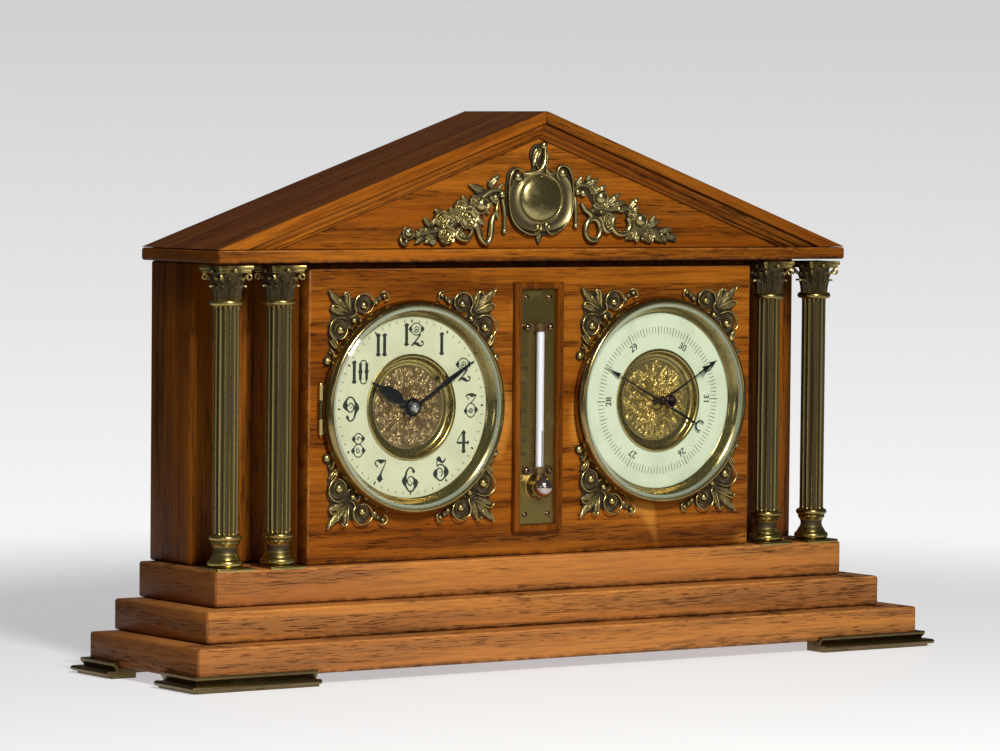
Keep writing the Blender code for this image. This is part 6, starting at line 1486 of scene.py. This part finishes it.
def set_hand(look):
    """The marker hand with its double barbed arrow, and the knob in front of the glass."""
    right = [(0.40, 1.0), (0.38, 30.2), (0.9, 32.4), (2.5, 31.4, "sharp"), (1.6, 33.6), (0.7, 36.6), (0.8, 37.6)]
    right += [(1.9, 37.0, "sharp"), (1.1, 39.2), (0.4, 41.2)]
    arrow = set_to(plate("arrow", mirrored(right, 43.0), 0.5, 0.08, resolution=4), SET_TURN, SET_LEVEL)
    knob = [(2.6, 73.7), (2.6, 75.7), (1.0, 75.7), (1.0, 78.3), (1.8, 78.3), (1.8, 79.4), (2.6, 79.7)]
    knob += [(3.3, 80.0), (3.7, 80.5), (3.8, 81.2), (3.7, 82.2), (3.4, 82.9), (3.0, 83.2), (2.5, 83.3)]
    knob += [(1.4, 82.9), (0.3, 82.7)]
    item = placed(merged("set_hand_and_knob", [arrow, turned("knob", knob, 56)]), *BAROMETER)
    finished(item, look, "set_hand", ["set_hand"])


# Thermometer


def engraved_scale(look):
    """Forty-three ticks beside the stem, with 40 to 110 at their left."""
    parts = []
    inner, outer = -2.4, -4.7
    for step in range(43):
        up = TICK_FOOT + TICK_STEP * step
        parts.append(block(((inner + outer) / 2, up, 0), (inner - outer, 0.45, 0.04)))
        bpy.ops.object.transform_apply(location=True, rotation=True, scale=True)
    for step in range(8):
        parts.append(number(str(40 + 10 * step), 3.4, -8.6, TICK_FOOT + TICK_STEP * (3 + 5 * step), 0))
    scale = placed(merged("thermometer_scale", parts), 0, 0, PLATE_FACE * MM + 0.03 * MM)
    finished(scale, look)


def plate_screws(screw, look):
    """Four screws in the plate and two in each clip."""
    on_plate = ((-7.5, 79.6, 20), (7.5, 79.6, 75), (-7.5, 196, 40), (7.5, 196, 100))
    on_clips = ((-7.5, 103.4, 10), (7.5, 103.4, 60), (-7.5, 180.2, 80), (7.5, 180.2, 30))
    heads = [(x, z, PLATE_FACE, 1.5, turn, 1, 1) for x, z, turn in on_plate]
    heads += [(x, z, CLIP_FACE, 2.0, turn, 1, 1.5) for x, z, turn in on_clips]
    heads = merged("thermometer_screws", stamped(screw, *heads))
    finished(placed(heads), look)


def thermometer(look):
    """The stem, and the bulb in its ring."""
    guard = ring("bulb_ring", [(5.8, 70.6), (6.2, 71.6), (7.3, 71.8), (7.9, 71.3), (7.9, 70.6)], 64)
    finished(placed(guard, 0, 94.9 * MM), look)
    profile = [(0.6, 181.0), (1.5, 180.7), (2.1, 180.0), (2.1, 102.6), (1.9, 101.4), (1.7, 100.2), (1.7, 98.0)]
    stem = turned("thermometer_stem", profile, 40)
    stem.data.transform(Matrix.Translation((0, BACK - STEM_AXIS * MM, 0)))
    finished(stem, stem_glass("white_stem_glass"), stands_for=["thermometer_tube"])
    fresh()
    size, place = BULB_RADIUS * MM, (0, 0, BULB_UP * MM)
    bpy.ops.mesh.primitive_uv_sphere_add(segments=48, ring_count=32, radius=size, location=place)
    bulb = bpy.context.object
    bulb.name = "thermometer_bulb"
    bpy.ops.object.transform_apply(location=True, rotation=True, scale=True)
    for point in bulb.data.vertices:
        over = point.co.z / MM - BULB_NECK
        if over > 0:
            pull = over / 1.5
            point.co.x *= 1 - 0.12 * pull
            point.co.y = point.co.y * (1 - 0.12 * pull) + 2.3 * MM * pull**1.5
            point.co.z += 2.4 * MM * pull**1.3
    bulb.data.transform(Matrix.Translation((0, BACK - BULB_AXIS * MM, 0)))
    finished(bulb, steel("mercury_glass", (0.58, 0.50, 0.45), 0.07, 1.0))


# Floor, light and camera


def stage():
    """A pale floor round the object that fades into the studio's own paper white."""
    fresh()
    bpy.ops.mesh.primitive_circle_add(vertices=96, radius=1.1, fill_type="NGON")
    floor = bpy.context.object
    floor.name = "floor"
    look = Look("pale_floor", Base_Color=(0.54, 0.54, 0.545), Roughness=0.7, Specular_IOR_Level=0.1)
    look.wear(Emission_Color=(0.47, 0.47, 0.48), Emission_Strength=1.0)
    x, y, _ = look.axes()
    distance = (x * x + y * y) ** 0.5
    clear = look.node("BsdfTransparent")
    solid = Field(look, look.shader.outputs[0])
    surface = look.node("MixShader", None, {0: distance.rise(0.42, 0.95), 1: solid, 2: clear})
    floor.data.materials.append(look.out(surface))


def lamp(name, place, size, power, colour=(1, 1, 1)):
    """A soft box that is aimed at the middle of the object."""
    light = bpy.data.lights.new(name, "AREA")
    light.shape = "RECTANGLE"
    light.size, light.size_y = size
    light.energy = power
    light.color = colour
    item = bpy.data.objects.new(name, light)
    bpy.context.scene.collection.objects.link(item)
    item.location = place
    item.rotation_euler = (Vector((0, 0, 0.14)) - Vector(place)).to_track_quat("-Z", "Y").to_euler()


PAPER = ((0.440, 0.93), (0.4615, 0.913), (0.482, 0.791), (0.5135, 0.631))


def studio():
    """Dim grey for the light, a paper ramp for the eye, and three soft boxes."""
    scene = bpy.context.scene
    scene.view_settings.view_transform = "Standard"
    world = bpy.data.worlds.new("studio")
    world.use_nodes = True
    scene.world = world
    sky = Nodes(world.node_tree)
    height = sky.split(sky.node("TexCoord", output="Generated"))[2]
    paper = sky.node("ValToRGB", {"stops": PAPER}, {"Fac": height * 0.5 + 0.5})
    sight = sky.node("Background", None, {"Color": paper})
    light = world.node_tree.nodes["Background"]
    sky.put(light.inputs["Color"], (0.30, 0.30, 0.30))
    sky.put(light.inputs["Strength"], 0.26)
    seen = sky.node("LightPath", output="Is Camera Ray")
    both = {0: seen, 1: Field(sky, light.outputs[0]), 2: sight}
    sky.end(sky.node("MixShader", None, both), "World Output")
    lamp("key", (-0.36, -1.40, 0.98), (0.30, 0.30), 27, (1.0, 0.97, 0.91))
    lamp("fill", (-0.3, -2.4, 0.45), (1.0, 0.6), 3)
    lamp("left_strip", (-1.56, -1.25, 0.35), (0.10, 0.40), 0.8)


def camera():
    """The photograph's view, from the left."""
    turn, dip, roll = (math.radians(degrees) for degrees in (VIEW_TURN, VIEW_DIP, VIEW_ROLL))
    ahead = Vector((math.sin(turn) * math.cos(dip), math.cos(turn) * math.cos(dip), -math.sin(dip)))
    right = Vector((math.cos(turn), -math.sin(turn), 0))
    up = right.cross(ahead)
    tilted_right = right * math.cos(roll) + up * math.sin(roll)
    tilted_up = up * math.cos(roll) - right * math.sin(roll)
    view = bpy.data.cameras.new("camera")
    view.sensor_fit = "HORIZONTAL"
    view.sensor_width = 36
    view.lens = LENS
    view.clip_end = 100
    item = bpy.data.objects.new("camera", view)
    bpy.context.scene.collection.objects.link(item)
    axes = Matrix((tilted_right, tilted_up, -ahead)).transposed().to_4x4()
    item.matrix_world = Matrix.Translation([part * MM for part in VIEWPOINT]) @ axes
    bpy.context.scene.camera = item


# Everything together

stage()
studio()
camera()
wood()

bezel_look = brass("bezel_brass", (0.36, 0.27, 0.105), (0.085, 0.058, 0.028), rough=0.17, patina=0.5, cast=0.2)
gilt_look = brass("gilt_brass", (0.50, 0.38, 0.13), (0.13, 0.09, 0.03), rough=0.22)
bezel("clock_bezel_ring", CLOCK, "door", bezel_look)
bezel("barometer_bezel_ring", BAROMETER, "case", bezel_look)
glass("clock_glass_pane", CLOCK, "door", 0)
glass("barometer_glass_pane", BAROMETER, "case", 1.3)
dish("clock_dial_centre_dish", CLOCK, 2.9, gilt_look)
dish("barometer_dial_centre_dish", BAROMETER, 1.1, gilt_look)
depth = above_seat(-2.3, -1.2)
wire_look = brass("filigree_brass", (0.62, 0.42, 0.20), (0.07, 0.045, 0.02), depth, rough=0.24)
filigree("clock_filigree", CLOCK, 5, wire_look)
wire_look = brass("filigree_gold", (0.85, 0.60, 0.18), (0.10, 0.065, 0.02), depth, rough=0.2)
filigree("barometer_filigree", BAROMETER, 9, wire_look)
dress(["clock_dial"], enamel("ivory_enamel", (0.66, 0.655, 0.485), (0.45, 0.42, 0.25)))
dress(["barometer_dial"], enamel("mint_enamel", (0.70, 0.76, 0.61), (0.46, 0.50, 0.38)))

dial_ink = ink("dial_ink")
hour_numerals(dial_ink)
minute_ring(dial_ink)
pressure_scale(ink("scale_ink", (0.05, 0.055, 0.045)))

blued = steel("blued_steel", (0.018, 0.020, 0.028), 0.28)
bright = steel("bright_steel", (0.50, 0.50, 0.52), 0.20)
hands(blued, bright)
pressure_hand(blued)
set_hand(brass("knob_brass", (0.085, 0.050, 0.050), (0.03, 0.02, 0.02), rough=0.22))

leaf, rose, ball, ribbed, screw = leaf_pattern(), rose_pattern(), ball_pattern(), dish_pattern(), screw_pattern()
clean, dull, depth = (0.58, 0.46, 0.165), (0.030, 0.020, 0.012), above_seat(1.5, 3.1)
corner_look = brass("corner_brass", clean, dull, depth, rough=0.20, patina=0.95)
clean, dull, depth = (0.50, 0.42, 0.18), (0.028, 0.020, 0.010), above_seat(1.3, 3.4)
mount_look = brass("mount_brass", clean, dull, depth, rough=0.22, patina=0.95)
corner_mounts(leaf, ball, ribbed, corner_look)
shield(leaf, ball, mount_look)
for side, casting in (("left", LEFT_GARLAND), ("right", RIGHT_GARLAND)):
    garland("garland_" + side, *casting, (leaf, ball, rose), mount_look)
columns(ball)

scale_look = brass("scale_brass", (0.40, 0.30, 0.095), (0.10, 0.07, 0.025), rough=0.30)
clip_look = brass("clip_brass", (0.50, 0.38, 0.16), (0.07, 0.045, 0.03), above_seat(1.6, 4.5), rough=0.25)
dress(["thermometer_plate"], scale_look)
dress(["thermometer_clip_upper", "thermometer_clip_lower"], clip_look)
engraved_scale(ink("engraved_ink", (0.03, 0.026, 0.012)))
plate_screws(screw, brass("screw_brass", (0.22, 0.14, 0.09), (0.045, 0.032, 0.024), rough=0.25))
thermometer(scale_look)
for pattern in (leaf, rose, ball, ribbed, screw):
    bpy.data.objects.remove(pattern)

for name in ("foot_front_left", "foot_front_right", "foot_back_left", "foot_back_right"):
    eased(name, brass(name + "_brass", (0.19, 0.135, 0.06), (0.035, 0.024, 0.014), rough=0.30), 0.25)
case_brass = brass("case_brass", (0.55, 0.42, 0.18), (0.15, 0.10, 0.05), rough=0.3)
dress(["movement_case", "movement_front_plate", "movement_back_plate", "mainspring_barrel"], case_brass)
dress(["minute_wheel", "hour_wheel", "setting_knob", "aneroid_case", "aneroid_capsule"], case_brass)
dress(["centre_arbor", "winding_key"], bright)
